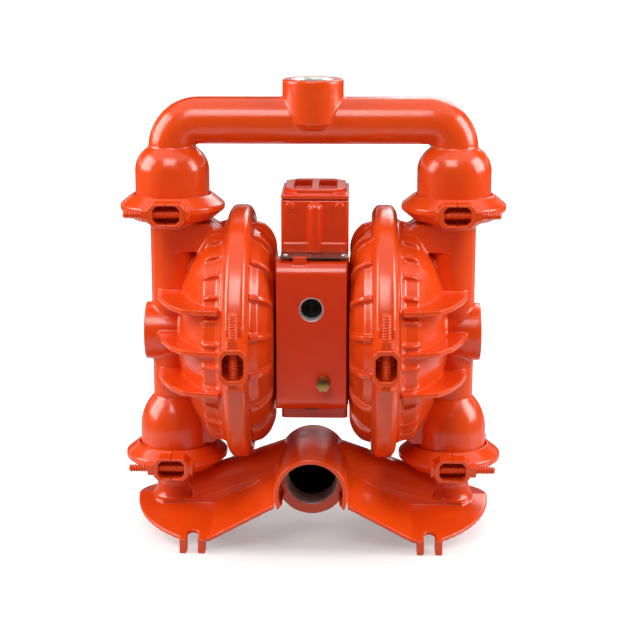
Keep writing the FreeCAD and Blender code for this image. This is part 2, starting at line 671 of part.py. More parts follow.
def plate_screws():
    screws = []
    for x, y in plate_pads():
        head = PLATE_Z + PLATE_T
        screws.append(turned_z([
            (0, PLATE_Z - 5.5), (PLATE_SCREW_R, PLATE_Z - 5.5), (PLATE_SCREW_R, head), (PLATE_HEAD_R, head),
            (PLATE_HEAD_R, head + 0.6), (PLATE_HEAD_R * 0.6, head + 1.5), (0, head + 1.5)], vec(x, y, 0)))
    return screws


def rounded_box(x0, x1, y0, y1, z0, z1, radius):
    """A box with its four upright edges rounded."""
    box = block(x0, x1, y0, y1, z0, z1)
    upright = [e for e in box.Edges if abs(e.Vertexes[0].Z - e.Vertexes[1].Z) > z1 - z0 - 1e-6]
    return box.makeFillet(radius, upright)


def centre_section():
    """The casting that carries the shaft: a tall box through a round drum, with front rib and rear exhaust."""
    tower = rounded_box(BOX_X - BOX_HALF, BOX_X + BOX_HALF, BOX_FRONT, BOX_REAR, BOX_BOTTOM, BOX_TOP, 4)
    drum = rod(DRUM_R, vec(-AIR_FACE_X, 0, AXIS_Z), vec(AIR_FACE_X, 0, AXIS_Z))
    trim = block(-AIR_FACE_X - 1, AIR_FACE_X + 1, -DRUM_R - 1, BOX_FRONT, AXIS_Z - DRUM_R - 1, AXIS_Z + DRUM_R + 1)
    rib_r = 6.5
    rib = rod(rib_r, vec(BOX_X, BOX_FRONT, PLATE_Z + PLATE_T + FIT), vec(BOX_X, BOX_FRONT, BOX_TOP - 8))
    rib_end = Part.makeSphere(rib_r, vec(BOX_X, BOX_FRONT, BOX_TOP - 8))
    lugs = []
    for side in (-1, 1):
        x = BOX_X + side * 23.5
        lugs.append(rod(3.25, vec(x, BOX_FRONT + 1, BOX_TOP - 5), vec(x, BOX_FRONT - 2.5, BOX_TOP - 5)))
    step = block(BOX_X - BOX_HALF + 1, BOX_X + BOX_HALF - 1, BOX_FRONT - 1.2, BOX_FRONT + 1, PLATE_Z + PLATE_T + FIT, 290)
    boss = rod(EXHAUST_BOSS_R, vec(BOX_X, BOX_REAR - 1, EXHAUST_Z), vec(BOX_X, BOX_REAR + EXHAUST_BOSS_OUT, EXHAUST_Z))
    body = joined([tower, drum.cut(trim), rib, rib_end, step, boss] + lugs)
    bore = rod(BUSH_R, vec(-AIR_FACE_X - 1, 0, AXIS_Z), vec(AIR_FACE_X + 1, 0, AXIS_Z))
    mouth = BOX_REAR + EXHAUST_BOSS_OUT
    exhaust = rod(EXHAUST_R, vec(BOX_X, mouth + 1, EXHAUST_Z), vec(BOX_X, mouth - EXHAUST_DEPTH, EXHAUST_Z))
    duct = rod(EXHAUST_DUCT_R, vec(BOX_X, mouth, EXHAUST_Z + 3), vec(BOX_X, CHEST_REAR - 1, EXHAUST_Z + 3))
    chest = block(BOX_X - CHEST_HALF, BOX_X + CHEST_HALF, CHEST_FRONT, CHEST_REAR, AXIS_Z + 42, BOX_TOP + 1)
    hole = rod(SCREW_R, vec(AIR_FACE_X - SCREW_DEPTH, 0, AXIS_Z + SCREW_PCR),
               vec(AIR_FACE_X + 1, 0, AXIS_Z + SCREW_PCR))
    hole.rotate(SHAFT_MID, X_AXIS, 45)
    threads = around_x(hole, 4)
    threads += [mirrored(t) for t in threads]
    return body.cut([bore, exhaust, duct, chest] + threads).removeSplitter()


def chamber_screws():
    """Screws from inside each air chamber into the centre section."""
    seat = AIR_FACE_X + WALL + 2
    screw = turned_x([
        (AIR_FACE_X - SCREW_DEPTH + 0.5, 0), (AIR_FACE_X - SCREW_DEPTH + 0.5, SCREW_R), (seat, SCREW_R),
        (seat, SCREW_HEAD_R), (seat + SCREW_HEAD_T, SCREW_HEAD_R), (seat + SCREW_HEAD_T, 0)])
    screw.translate(vec(0, 0, SCREW_PCR))
    screw.rotate(SHAFT_MID, X_AXIS, 45)
    screws = around_x(screw, 4)
    return screws + [mirrored(s) for s in screws]


def top_cap():
    """The cover of the tall box: a plate with an eight-sided raised frame, two windows and slats in them."""
    base = BOX_TOP + GASKET_T
    lid = rounded_box(BOX_X - BOX_HALF, BOX_X + BOX_HALF, BOX_FRONT, BOX_REAR, base, base + CAP_T, 4)
    x_half = BOX_HALF - 3
    y0 = BOX_FRONT + 4
    y1 = BOX_REAR - 4
    cut = 12.0
    ring = [
        (BOX_X - x_half + cut, y0), (BOX_X + x_half - cut, y0), (BOX_X + x_half, y0 + cut), (BOX_X + x_half, y1 - cut),
        (BOX_X + x_half - cut, y1), (BOX_X - x_half + cut, y1), (BOX_X - x_half, y1 - cut), (BOX_X - x_half, y0 + cut)]
    frame = plate_z(ring, base + CAP_T, CAP_FRAME_RISE)
    cap = joined([lid, frame])
    window = block(BOX_X + 3.5, BOX_X + 20.5, y0 + 8, y1 - 8, base - 1, base + CAP_T + CAP_FRAME_RISE + 1)
    cap = cap.cut([window, placed(window, vec(-24, 0, 0))])
    slats = []
    pitch = (y1 - y0 - 16) / 6
    for i in range(1, 6):
        y = y0 + 8 + i * pitch
        slats.append(block(BOX_X - 22, BOX_X + 22, y - 1.5, y + 1.5, base, base + CAP_T))
    return joined([cap] + slats)


def discharge_manifold():
    """Port boss, straight pipe, two bends and a ball cage at each end, cast in one."""
    straight_x = COLUMN_X - BEND_R
    bend_z = PIPE_Z - BEND_R

    def run(radius, neck):
        pipe = rod(radius, vec(-straight_x, 0, PIPE_Z), vec(straight_x, 0, PIPE_Z))
        circle = Part.Face(Part.Wire(Part.makeCircle(radius, vec(straight_x, 0, PIPE_Z), X_AXIS)))
        bend = circle.revolve(vec(straight_x, 0, bend_z), Y_AXIS, 90)
        return [pipe] + both_sides(bend) + both_sides(neck)

    dome = turned_z(
        [(0, UPPER_Z + PORT_GAP / 2)] + [(r, UPPER_Z + z) for r, z in valve_flange(1)]
        + [(DOME_R, UPPER_Z + 10.5), (DOME_R, DOME_SHOULDER_Z), ((33.0, DOME_SHOULDER_Z + 12), (NECK_R, CREASE_Z)),
           (0, CREASE_Z)], RIGHT_COLUMN)
    boss = turned_z([
        (0, PORT_BOSS_FOOT - 6), (PORT_BOSS_R - 5, PORT_BOSS_FOOT - 6), (PORT_BOSS_R, PORT_BOSS_FOOT),
        (PORT_BOSS_R, TOP_Z - 1), (PORT_BOSS_R - 1, TOP_Z), (0, TOP_Z)])
    body = joined(run(PIPE_R, dome) + [boss])
    hollow = cage(-1, 34, 50, PIPE_BORE_R).fuse(seat_recess(1))
    hollow.translate(vec(COLUMN_X, 0, UPPER_Z))
    riser = rod(PIPE_BORE_R, vec(COLUMN_X, 0, UPPER_Z + 40), vec(COLUMN_X, 0, bend_z))
    bores = run(PIPE_BORE_R, riser) + both_sides(hollow)
    outlet = rod(OUTLET_R, vec(0, 0, TOP_Z - OUTLET_DEPTH), vec(0, 0, TOP_Z + 1))
    throat = rod(PIPE_BORE_R - 1, vec(0, 0, PIPE_Z), vec(0, 0, TOP_Z - 1))
    return body.cut(bores + [outlet, throat]).removeSplitter()


def skirt_sheet(drop):
    """The space under the skirt's top surface lowered by drop: flat over the feet, rising to the arch."""
    def section(y):
        rise = SKIRT_FALL * (SKIRT_HALF - abs(y)) - drop
        far = LOBE_X + LOBE_R + 5
        flat = SKIRT_RIM_Z + rise
        arch = SKIRT_ARCH_Z + rise
        points = [(-far, -30), (-far, flat), (-SKIRT_FLAT_X, flat), (-SKIRT_ARCH_X, arch),
                  (SKIRT_ARCH_X, arch), (SKIRT_FLAT_X, flat), (far, flat), (far, -30)]
        return Part.makePolygon([vec(x, y, z) for x, z in points + [points[0]]])

    front = Part.makeLoft([section(-SKIRT_HALF - 10), section(0)], True, True)
    return joined(both_sides(front, Y_AXIS))


def skirt_plan():
    """The rim of the skirt seen from above, right side."""
    corner = LOBE_X + math.sqrt(LOBE_R ** 2 - SKIRT_HALF ** 2)
    tip = LOBE_X + LOBE_R
    return [
        (SKIRT_ARCH_X, 0), (SKIRT_ARCH_X, -SKIRT_HALF), (corner, -SKIRT_HALF),
        ((tip, 0), (corner, SKIRT_HALF)), (SKIRT_FLAT_X, SKIRT_HALF), (SKIRT_ARCH_X, INLET_REAR)]


def inlet_manifold():
    """Hooded port, two sloping arms up to the valve joints and a skirt that stands on four slotted ears."""
    lobes = both_sides(plate_z(skirt_plan(), -10, 120))
    crest = SKIRT_ARCH_Z + SKIRT_FALL * SKIRT_HALF
    cheek = plate_y(
        [(20, crest - SKIRT_T), (20, INLET_Z + 2), (ARM_END_X, ARM_END_Z), (COLUMN_X + STUB_R, ARM_END_Z - 2),
         (COLUMN_X + STUB_R, SKIRT_RIM_Z), (SKIRT_FLAT_X, SKIRT_RIM_Z)], -FOOT_HALF, 2 * FOOT_HALF)
    plan = plate_z([(20, -ARM_START_R), (ARM_END_X, -FOOT_HALF + 2), (COLUMN_X + 12, -FOOT_HALF),
                    (COLUMN_X + 26, -FOOT_HALF / 2), (COLUMN_X + 26, FOOT_HALF / 2), (COLUMN_X + 12, FOOT_HALF),
                    (ARM_END_X, FOOT_HALF - 2), (20, ARM_START_R)], 0, INLET_Z + 20)
    cheek = cheek.common(plan)
    cheek = cheek.cut(skirt_sheet(SKIRT_T))
    sheet = skirt_sheet(0).cut(skirt_sheet(SKIRT_T))
    skirts = [sheet.common(lobe) for lobe in lobes]
    arm_start = vec(20, 0, INLET_Z + 2)
    arm_end = vec(ARM_END_X, 0, ARM_END_Z)
    along = arm_end - arm_start
    arm = Part.makeCone(ARM_START_R, ARM_END_R, along.Length, arm_start, along)
    arm_bore = Part.makeCone(ARM_START_R - ARM_WALL, ARM_END_R - ARM_WALL, along.Length + 10, arm_start, along)
    stub = turned_z(
        [(0, 8), (STUB_R - 7, 8), (STUB_R, 16), (FOOT_HALF - 1, 22), (FOOT_HALF - 1, ARM_END_Z - 4),
         (STUB_R + 1.5, ARM_END_Z + 4), (STUB_R, ARM_END_Z + 11), (STUB_R, LOWER_Z - 16)]
        + [(r, LOWER_Z + z) for r, z in reversed(valve_flange(-1))]
        + [(0, LOWER_Z - PORT_GAP / 2)], RIGHT_COLUMN)
    riser = rod(STUB_R - ARM_WALL, vec(COLUMN_X, 0, 14), vec(COLUMN_X, 0, LOWER_Z))
    recess = seat_recess(-1)
    recess.translate(vec(COLUMN_X, 0, LOWER_Z))
    port = turned_y([
        (0, INLET_FACE), (INLET_RING_R, INLET_FACE), (INLET_RING_R, INLET_REAR - 16),
        ((INLET_RING_R - 5, INLET_REAR - 5), (INLET_RING_R - 16, INLET_REAR)), (0, INLET_REAR)], 0, INLET_Z)
    hood = turned_y([
        (INLET_RING_R - HOOD_T, HOOD_FRONT), (INLET_RING_R, HOOD_FRONT), (INLET_RING_R, INLET_FACE + 2),
        (INLET_RING_R - HOOD_T, INLET_FACE + 2)], 0, INLET_Z)
    reach = INLET_RING_R + 1
    hood = hood.common(block(-reach, reach, HOOD_FRONT, INLET_FACE + 3, SKIRT_ARCH_Z - SKIRT_T, INLET_Z + reach))
    foot = EAR_SLOT / 2 + EAR_LEG
    front = -SKIRT_HALF - EAR_OUT
    ear = block(EAR_X - foot, EAR_X + foot, front, front + EAR_DEPTH, 0, SKIRT_RIM_Z)
    ears = both_sides(ear) + [mirrored(e, Y_AXIS) for e in both_sides(ear)]
    body = joined(skirts + both_sides(arm) + both_sides(cheek) + both_sides(stub) + [port, hood] + ears)
    slot_end = front + EAR_DEPTH
    slot = joined([
        block(EAR_X - EAR_SLOT / 2, EAR_X + EAR_SLOT / 2, front - 1, slot_end, -1, SKIRT_RIM_Z + 20),
        rod(EAR_SLOT / 2, vec(EAR_X, slot_end, -1), vec(EAR_X, slot_end, SKIRT_RIM_Z + 20))])
    slots = both_sides(slot) + [mirrored(s, Y_AXIS) for s in both_sides(slot)]
    inlet = rod(INLET_R, vec(0, INLET_FACE - 1, INLET_Z), vec(0, INLET_FACE + INLET_DEPTH, INLET_Z))
    chest = rod(INLET_R - 2, vec(0, INLET_FACE, INLET_Z), vec(0, INLET_REAR - 8, INLET_Z))
    relief = Part.makeCylinder(BAND_R + BAND_CLEARANCE, 2 * (BAND_HALF + BAND_CLEARANCE),
                               vec(RIM_X - BAND_HALF - BAND_CLEARANCE, 0, AXIS_Z), X_AXIS)
    bores = both_sides(arm_bore) + both_sides(riser) + both_sides(recess) + both_sides(relief)
    return body.cut(slots + bores + [inlet, chest]).removeSplitter()


def valve_seat():
    """A seat ring about the origin, with the ball on its chamfered upper edge."""
    half = SEAT_T / 2
    return turned_z([
        (SEAT_BORE_R, -half), (SEAT_R, -half), (SEAT_R, half), (SEAT_BORE_R + SEAT_CHAMFER, half),
        (SEAT_BORE_R, half - SEAT_CHAMFER)])


def seat_seal():
    """The flat ring between two valve flanges."""
    return turned_z([
        (SEAT_R + FIT, -PORT_GAP / 2), (PORT_RIM_R - 2, -PORT_GAP / 2), (PORT_RIM_R - 2, PORT_GAP / 2),
        (SEAT_R + FIT, PORT_GAP / 2)])


def build():
    os.makedirs(PARTS, exist_ok=True)
    sides = {"right": lambda s: s, "left": mirrored}
    levels = {"upper": UPPER_Z, "lower": LOWER_Z}

    save("discharge_manifold", discharge_manifold())
    save("inlet_manifold", inlet_manifold())
    save("centre_section", centre_section())
    save("top_cap", top_cap())
    inset = BOX_HALF - GASKET_INSET
    cap_seat = block(BOX_X - inset, BOX_X + inset, BOX_FRONT + GASKET_INSET, BOX_REAR - GASKET_INSET,
                     BOX_TOP, BOX_TOP + GASKET_T)
    chest = block(BOX_X - CHEST_HALF, BOX_X + CHEST_HALF, CHEST_FRONT, CHEST_REAR, BOX_TOP - 1, BOX_TOP + 2)
    save("top_cap_gasket", cap_seat.cut(chest))
    save("air_valve_body", air_valve_body())
    save("air_valve_gasket", block(-VALVE_HALF + 6, VALVE_HALF - 6, BOX_FRONT - GASKET_T, BOX_FRONT,
                                   VALVE_BOTTOM + 4, VALVE_TOP - 4))
    save("air_valve_spool", spool())
    save("air_valve_end_cap", Part.makeCylinder(END_CAP_R - RUNNING, END_CAP_T, vec(0, SPOOL_Y, VALVE_BOTTOM)))
    save("brass_plug", brass_plug())
    save("steel_plate", steel_plate())
    save("steel_plate_screws", plate_screws())
    save("main_shaft", shaft())
    save("shaft_bush", sleeve_x(-AIR_FACE_X, AIR_FACE_X, SHAFT_R + RUNNING, BUSH_R))
    seal = sleeve_x(AIR_FACE_X, AIR_FACE_X + SEAL_T, SHAFT_R + RUNNING, BUSH_R)
    save("shaft_seals", both_sides(seal))
    save("air_chamber_screws", chamber_screws())

    pieces = {
        "liquid_chamber": liquid_chamber(), "air_chamber": air_chamber(), "diaphragm": diaphragm(),
        "inner_piston": inner_piston(), "outer_piston": outer_piston(),
    }
    upper_half = placed(large_clamp_half(), vec(RIM_X, 0, 0))
    flipped = placed(upper_half, vec(0, 0, -AXIS_Z))
    lower_half = placed(flipped.mirror(vec(0, 0, 0), Z_AXIS), SHAFT_MID)
    pieces["large_clamp_upper"] = upper_half
    pieces["large_clamp_lower"] = lower_half
    for level, z in levels.items():
        half = small_clamp_half()
        pieces["small_clamp_" + level + "_outer"] = placed(half, vec(COLUMN_X, 0, z))
        pieces["small_clamp_" + level + "_inner"] = placed(mirrored(half), vec(COLUMN_X, 0, z))
        pieces["valve_seat_" + level] = placed(valve_seat(), vec(COLUMN_X, 0, z))
        rest = SEAT_T / 2 - SEAT_CHAMFER + math.sqrt(BALL_R ** 2 - SEAT_BORE_R ** 2) + FIT
        pieces["valve_ball_" + level] = Part.makeSphere(BALL_R, vec(COLUMN_X, 0, z + rest))
    for name, shape in pieces.items():
        for side, turn in sides.items():
            save(name + "_" + side, turn(shape))

    seals = [placed(seat_seal(), vec(COLUMN_X, 0, z)) for z in levels.values()]
    save("seat_seals", seals + [mirrored(s) for s in seals])
    for name, index in (("bolts", 0), ("nuts", 1)):
        small = small_clamp_bolt()[index]
        group = [placed(small, vec(COLUMN_X, y, z)) for y in (-SMALL_BOLT_Y, SMALL_BOLT_Y) for z in levels.values()]
        save("small_clamp_" + name, group + [mirrored(s) for s in group])
        large = large_clamp_bolt()[index]
        group = [placed(large, vec(RIM_X, y, AXIS_Z), (Y_AXIS, -90)) for y in (-BIG_BOLT_Y, BIG_BOLT_Y)]
        save("large_clamp_" + name, group + [mirrored(s) for s in group])


build()
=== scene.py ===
import json
import math

import bmesh
import bpy
from bpy.props import FloatProperty, FloatVectorProperty, IntProperty, PointerProperty
from mathutils import Matrix, Vector


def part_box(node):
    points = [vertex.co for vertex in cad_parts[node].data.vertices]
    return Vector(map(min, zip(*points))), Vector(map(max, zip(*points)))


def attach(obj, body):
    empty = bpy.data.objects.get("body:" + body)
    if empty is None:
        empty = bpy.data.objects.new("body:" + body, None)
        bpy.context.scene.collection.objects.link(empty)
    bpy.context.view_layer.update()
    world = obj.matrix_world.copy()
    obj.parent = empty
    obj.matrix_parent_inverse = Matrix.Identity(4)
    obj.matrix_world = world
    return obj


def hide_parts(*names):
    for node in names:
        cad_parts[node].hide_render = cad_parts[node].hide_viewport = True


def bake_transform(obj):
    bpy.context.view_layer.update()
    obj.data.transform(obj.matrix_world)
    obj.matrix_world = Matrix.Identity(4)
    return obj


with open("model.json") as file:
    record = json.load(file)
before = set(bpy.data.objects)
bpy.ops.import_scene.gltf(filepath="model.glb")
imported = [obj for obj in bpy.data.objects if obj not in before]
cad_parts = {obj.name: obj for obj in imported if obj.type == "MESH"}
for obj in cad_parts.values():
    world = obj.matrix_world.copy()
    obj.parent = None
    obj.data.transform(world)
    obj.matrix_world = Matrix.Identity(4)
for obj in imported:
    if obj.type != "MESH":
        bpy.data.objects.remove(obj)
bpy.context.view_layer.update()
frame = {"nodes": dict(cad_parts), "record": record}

bl_info = {
    "name": "Air operated diaphragm pump",
    "version": (1, 0, 0),
    "blender": (4, 5, 0),
    "location": "3D View > Sidebar > Pump",
    "description": "Dresses the packed pump: painted castings, clamps, threads, ports and a white studio",
    "category": "Add Mesh",
}

MM = 0.001
WELD = 0.00002              # vertices of a CAD mesh that are closer than this are one

BLOCK_NODES = ("centre_section", "air_valve_body", "top_cap")   # coated redder than the wetted castings: painted shade, as the blocks sit in shadow between the chambers
BORED_NODES = ("discharge_manifold", "inlet_manifold", "air_valve_body", "centre_section")

BAND_ROUNDS = 110           # extra relaxing that turns the folded section of a large clamp into a smooth band
BAND_LUG = 0.03             # the bolt lugs lie within this height of the split and keep their edges
SPLIT_KEPT = 0.0016         # length of a clamp half's ends that is not relaxed

MOUTH_SLACK = 0.0002        # a relaxed skin may stand out of a port by this much
WALL_SLACK = 0.0009         # and lie this far outside its bore
PASSAGE_START = 0.85        # share of a port's length where the passage's painted shade begins
PASSAGE_WIDTH = 1.2         # width of the passage, as a share of the port's
PASSAGE_DEPTH = 0.075

ROWS_PER_PITCH = 10         # rows of faces along one pitch of a thread
OVERLAP = 0.0002            # how far a bolt's thread starts inside its head

PLUG_FLATS = 0.0115
PLUG_HEAD = 0.009
PLUG_COLLAR_END = 0.0125    # from the plug's front face to the block

DIAPHRAGM_PLANE = 0.069     # distance of a diaphragm's middle plane from the pump's
SECTORS = 8                 # pieces that one diaphragm is made in

# name, place, aim, width, height and the setting that holds the power
LAMPS = (
    ("front", (-0.2, -1.12, 1.46), (0, 0, 0.2), 0.9, 0.75, "top_power"),
    ("left", (-1.42, -0.1, 0.88), (0, 0, 0.22), 1.05, 1.05, "side_power"),
    ("right", (1.42, -0.1, 0.88), (0, 0, 0.22), 0.85, 1.05, "side_power"),
    ("rear", (0.5, 1.5, 1.3), (0, 0, 0.2), 0.9, 0.8, "rear_power"),
)
SENSOR_WIDTH = 36
FLOOR_HALF = 4.0            # half the floor's width
CARD_NEAR = 0.62            # the front mat begins here, clear of the pump's shadow
CARD_FAR = 2.6              # distance of the black walls
CARD_TOP = 3.0
CARD_FOOT = 0.002           # height of the mat over the floor
CARD_SLOT = (0.66, 0.9)     # heights between which the wall behind the pump is open


def linear(hex_colour):
    """An sRGB hex colour as linear RGB."""
    parts = [int(hex_colour[i:i + 2], 16) / 255 for i in (0, 2, 4)]
    return tuple(c / 12.92 if c <= 0.04045 else ((c + 0.055) / 1.055) ** 2.4 for c in parts)


class CoatSettings(bpy.types.PropertyGroup):
    """Colours of the finishes"""
    orange: FloatVectorProperty(
        name="Powder coat", description="Orange of the coated castings", subtype="COLOR",
        size=3, min=0, max=1, default=linear("EE4F0E"))
    orange_deep: FloatVectorProperty(
        name="Powder coat, thick", description="Deeper orange where the coat lies thick", subtype="COLOR",
        size=3, min=0, max=1, default=linear("DE420B"))
    # Painted shade: the blocks sit in shadow between the chambers, and this darker, redder orange paints that shade
    # into their coat.
    orange_block_shade: FloatVectorProperty(
        name="Powder coat, blocks", description="Redder orange of the blocks between the chambers", subtype="COLOR",
        size=3, min=0, max=1, default=linear("E03608"))
    brass: FloatVectorProperty(
        name="Brass", description="Colour of the hexagon plug", subtype="COLOR",
        size=3, min=0, max=1, default=linear("C79A66"))
    steel: FloatVectorProperty(
        name="Bare steel", description="Colour of the plate above the air inlet", subtype="COLOR",
        size=3, min=0, max=1, default=linear("B3A79C"))
    bare: FloatVectorProperty(
        name="Machined aluminium", description="Colour of the port threads", subtype="COLOR",
        size=3, min=0, max=1, default=linear("E4E1DB"))


class CastingSettings(bpy.types.PropertyGroup):
    """How softly the castings are rounded"""
    grid: FloatProperty(
        name="Casting grid", description="Size of the faces of a large casting", unit="LENGTH",
        min=0.0008, max=0.004, precision=4, default=0.0010)
    fine_grid: FloatProperty(
        name="Clamp grid", description="Size of the faces of a clamp half", unit="LENGTH",
        min=0.0004, max=0.003, precision=4, default=0.0007)
    rounds: IntProperty(
        name="Rounding", description="How many times the skin is relaxed, which sets the edge radius",
        min=0, max=40, default=4)


class ThreadSettings(bpy.types.PropertyGroup):
    """Threads of the clamp bolts"""
    pitch: FloatProperty(
        name="Pitch", description="Distance between two crests", unit="LENGTH",
        min=0.001, max=0.003, precision=4, default=0.0026)
    depth: FloatProperty(
        name="Depth", description="Depth of the coated thread", unit="LENGTH",
        min=0.0001, max=0.002, precision=4, default=0.0012)


class StudioSettings(bpy.types.PropertyGroup):
    """Camera and lamps"""
    distance: FloatProperty(
        name="Camera distance", description="From the pump's middle plane, along Y", unit="LENGTH",
        min=0.5, max=5, default=1.571)
    height: FloatProperty(
        name="Camera height", description="Above the floor", unit="LENGTH", min=0, max=3, default=0.58)
    side: FloatProperty(
        name="Camera side", description="Offset to the right", unit="LENGTH", min=-1, max=1, default=0.0355)
    pitch: FloatProperty(
        name="Camera pitch", description="Downward tilt", subtype="ANGLE", min=0, max=1.5,
        default=math.radians(13))
    yaw: FloatProperty(
        name="Camera yaw", description="Turn to the left", subtype="ANGLE", min=-1, max=1,
        default=math.radians(1.4))
    lens: FloatProperty(
        name="Lens", description="Focal length", unit="CAMERA", min=10, max=300, default=95.8)
    top_power: FloatProperty(
        name="Front lamp", description="Power of the lamp above the camera", unit="POWER", min=0, max=500,
        default=12)
    side_power: FloatProperty(
        name="Side lamps", description="Power of each side lamp", unit="POWER", min=0, max=500, default=23)
    rear_power: FloatProperty(
        name="Rear lamp", description="Power of the lamp behind the pump", unit="POWER", min=0, max=500, default=10)


def node(tree, kind, settings=None, links=None):
    """Adds a shader node, sets attributes or inputs by name, and links its inputs to sockets."""
    made = tree.nodes.new(kind)
    for name, value in (settings or {}).items():
        if name in made.inputs:
            made.inputs[name].default_value = value
        else:
            setattr(made, name, value)
    for name, socket in (links or {}).items():
        tree.links.new(socket, made.inputs[name])
    return made


def new_material(name):
    """An empty material with a Principled shader on its output."""
    material = bpy.data.materials.new(name)
    material.use_nodes = True
    tree = material.node_tree
    tree.nodes.clear()
    shader = tree.nodes.new("ShaderNodeBsdfPrincipled")
    out = tree.nodes.new("ShaderNodeOutputMaterial")
    tree.links.new(shader.outputs["BSDF"], out.inputs["Surface"])
    where = tree.nodes.new("ShaderNodeTexCoord")
    return material, tree, shader, where.outputs["Object"]


def per_metre(millimetres):
    """Noise scale whose features are about that many millimetres across."""
    return 1000.0 / millimetres


def blotches(tree, where, millimetres, detail=2.0):
    """Soft noise between 0 and 1 with features of a real size."""
    return node(tree, "ShaderNodeTexNoise", {"Scale": per_metre(millimetres), "Detail": detail},
                {"Vector": where}).outputs["Fac"]


def between(tree, factor, low, high):
    """Maps 0.3-0.7 of a noise to low-high."""
    return node(tree, "ShaderNodeMapRange", {"From Min": 0.3, "From Max": 0.7, "To Min": low, "To Max": high},
                {"Value": factor}).outputs["Result"]


def two_tone(tree, factor, first, second):
    """A colour that wanders between two colours."""
    mix = node(tree, "ShaderNodeMix", {"data_type": "RGBA"})
    colours = [s for s in mix.inputs if s.type == "RGBA"]
    colours[0].default_value = (*first, 1)
    colours[1].default_value = (*second, 1)
    tree.links.new(factor, mix.inputs["Factor"])
    return [s for s in mix.outputs if s.type == "RGBA"][0]


def dented(tree, heights, shader):
    """Chains bump nodes; heights lists (height socket, depth in millimetres)."""
    normal = None
    for height, depth in heights:
        bump = node(tree, "ShaderNodeBump", {"Strength": 1.0, "Distance": depth * MM}, {"Height": height})
        if normal:
            tree.links.new(normal, bump.inputs["Normal"])
        normal = bump.outputs["Normal"]
    tree.links.new(normal, shader.inputs["Normal"])


def powder_coat(name, thick, thin, waves=0.12):
    """Polyester powder coat on cast aluminium: a thick glossy skin that flows round every edge.
    It gives broad soft reflections. The colour wanders over 45 mm with the coat's thickness, the gloss over 9 mm,
    and the surface waves with the cast skin (14 mm) and with orange peel (2.2 mm)."""
    material, tree, shader, where = new_material(name)
    shader.inputs["IOR"].default_value = 1.5
    shader.inputs["Specular IOR Level"].default_value = 0.72
    wander = blotches(tree, where, 45)
    tree.links.new(two_tone(tree, wander, thick, thin), shader.inputs["Base Color"])
    tree.links.new(between(tree, blotches(tree, where, 9), 0.17, 0.27), shader.inputs["Roughness"])
    peel = blotches(tree, where, 2.2, 1.0)
    skin = blotches(tree, where, 14, 3.0)
    dented(tree, [(skin, waves), (peel, 0.02)], shader)
    return material


def turned_metal(name, colour, groove, roughness, axis, metallic=1.0):
    """Metal from a lathe: fine rings round the axis, which draw the highlight out along it. The real grooves are
    about 0.1 mm apart, too fine to show, so they are drawn at the groove width in millimetres."""
    material, tree, shader, where = new_material(name)
    shader.inputs["Metallic"].default_value = metallic
    shade = tuple(c * 0.85 for c in colour)
    tree.links.new(two_tone(tree, blotches(tree, where, 8), colour, shade), shader.inputs["Base Color"])
    tree.links.new(between(tree, blotches(tree, where, 1.2), roughness - 0.07, roughness + 0.07),
                   shader.inputs["Roughness"])
    rings = node(tree, "ShaderNodeTexWave", {
        "wave_type": "BANDS", "bands_direction": axis, "Scale": per_metre(groove) / math.tau, "Distortion": 0.4,
        "Detail Scale": per_metre(groove)}, {"Vector": where}).outputs["Fac"]
    dented(tree, [(rings, 0.03)], shader)
    return material


def rolled_steel(name, colour):
    """Bare mild steel sheet, rolled and handled: grey with faint brown stains and fine scratches along X."""
    material, tree, shader, where = new_material(name)
    shader.inputs["Metallic"].default_value = 1.0
    stain = tuple(c * f for c, f in zip(colour, (0.62, 0.5, 0.42)))
    tree.links.new(two_tone(tree, blotches(tree, where, 7, 4.0), colour, stain), shader.inputs["Base Color"])
    tree.links.new(between(tree, blotches(tree, where, 3, 3.0), 0.28, 0.5), shader.inputs["Roughness"])
    stretch = node(tree, "ShaderNodeMapping", {"Scale": (0.05, 1, 1)}, {"Vector": where})
    dented(tree, [(blotches(tree, stretch.outputs["Vector"], 0.8), 0.02)], shader)
    return material


def passage_painted_shade(name, colour, roughness):
    """Painted shade inside a passage: a near-black, matt surface with the grain of rough cast aluminium, standing in
    for the dark deep in the casting.
    """
    material, tree, shader, where = new_material(name)
    shader.inputs["Specular IOR Level"].default_value = 0.25
    dark = tuple(c * 0.6 for c in colour)
    tree.links.new(two_tone(tree, blotches(tree, where, 5, 4.0), colour, dark), shader.inputs["Base Color"])
    tree.links.new(between(tree, blotches(tree, where, 2, 3.0), roughness - 0.1, roughness + 0.1),
                   shader.inputs["Roughness"])
    dented(tree, [(blotches(tree, where, 1.5, 3.0), 0.15)], shader)
    return material


def moulded(name, hex_colour, roughness, grain):
    """Moulded rubber or plastic with a fine grain from the mould."""
    material, tree, shader, where = new_material(name)
    shader.inputs["IOR"].default_value = 1.5
    colour = linear(hex_colour)
    pale = tuple(min(1.0, c * 1.25 + 0.004) for c in colour)
    tree.links.new(two_tone(tree, blotches(tree, where, 12), colour, pale), shader.inputs["Base Color"])
    tree.links.new(between(tree, blotches(tree, where, 3), roughness - 0.06, roughness + 0.06),
                   shader.inputs["Roughness"])
    dented(tree, [(blotches(tree, where, grain), 0.04)], shader)
    return material


FINISHES = {}


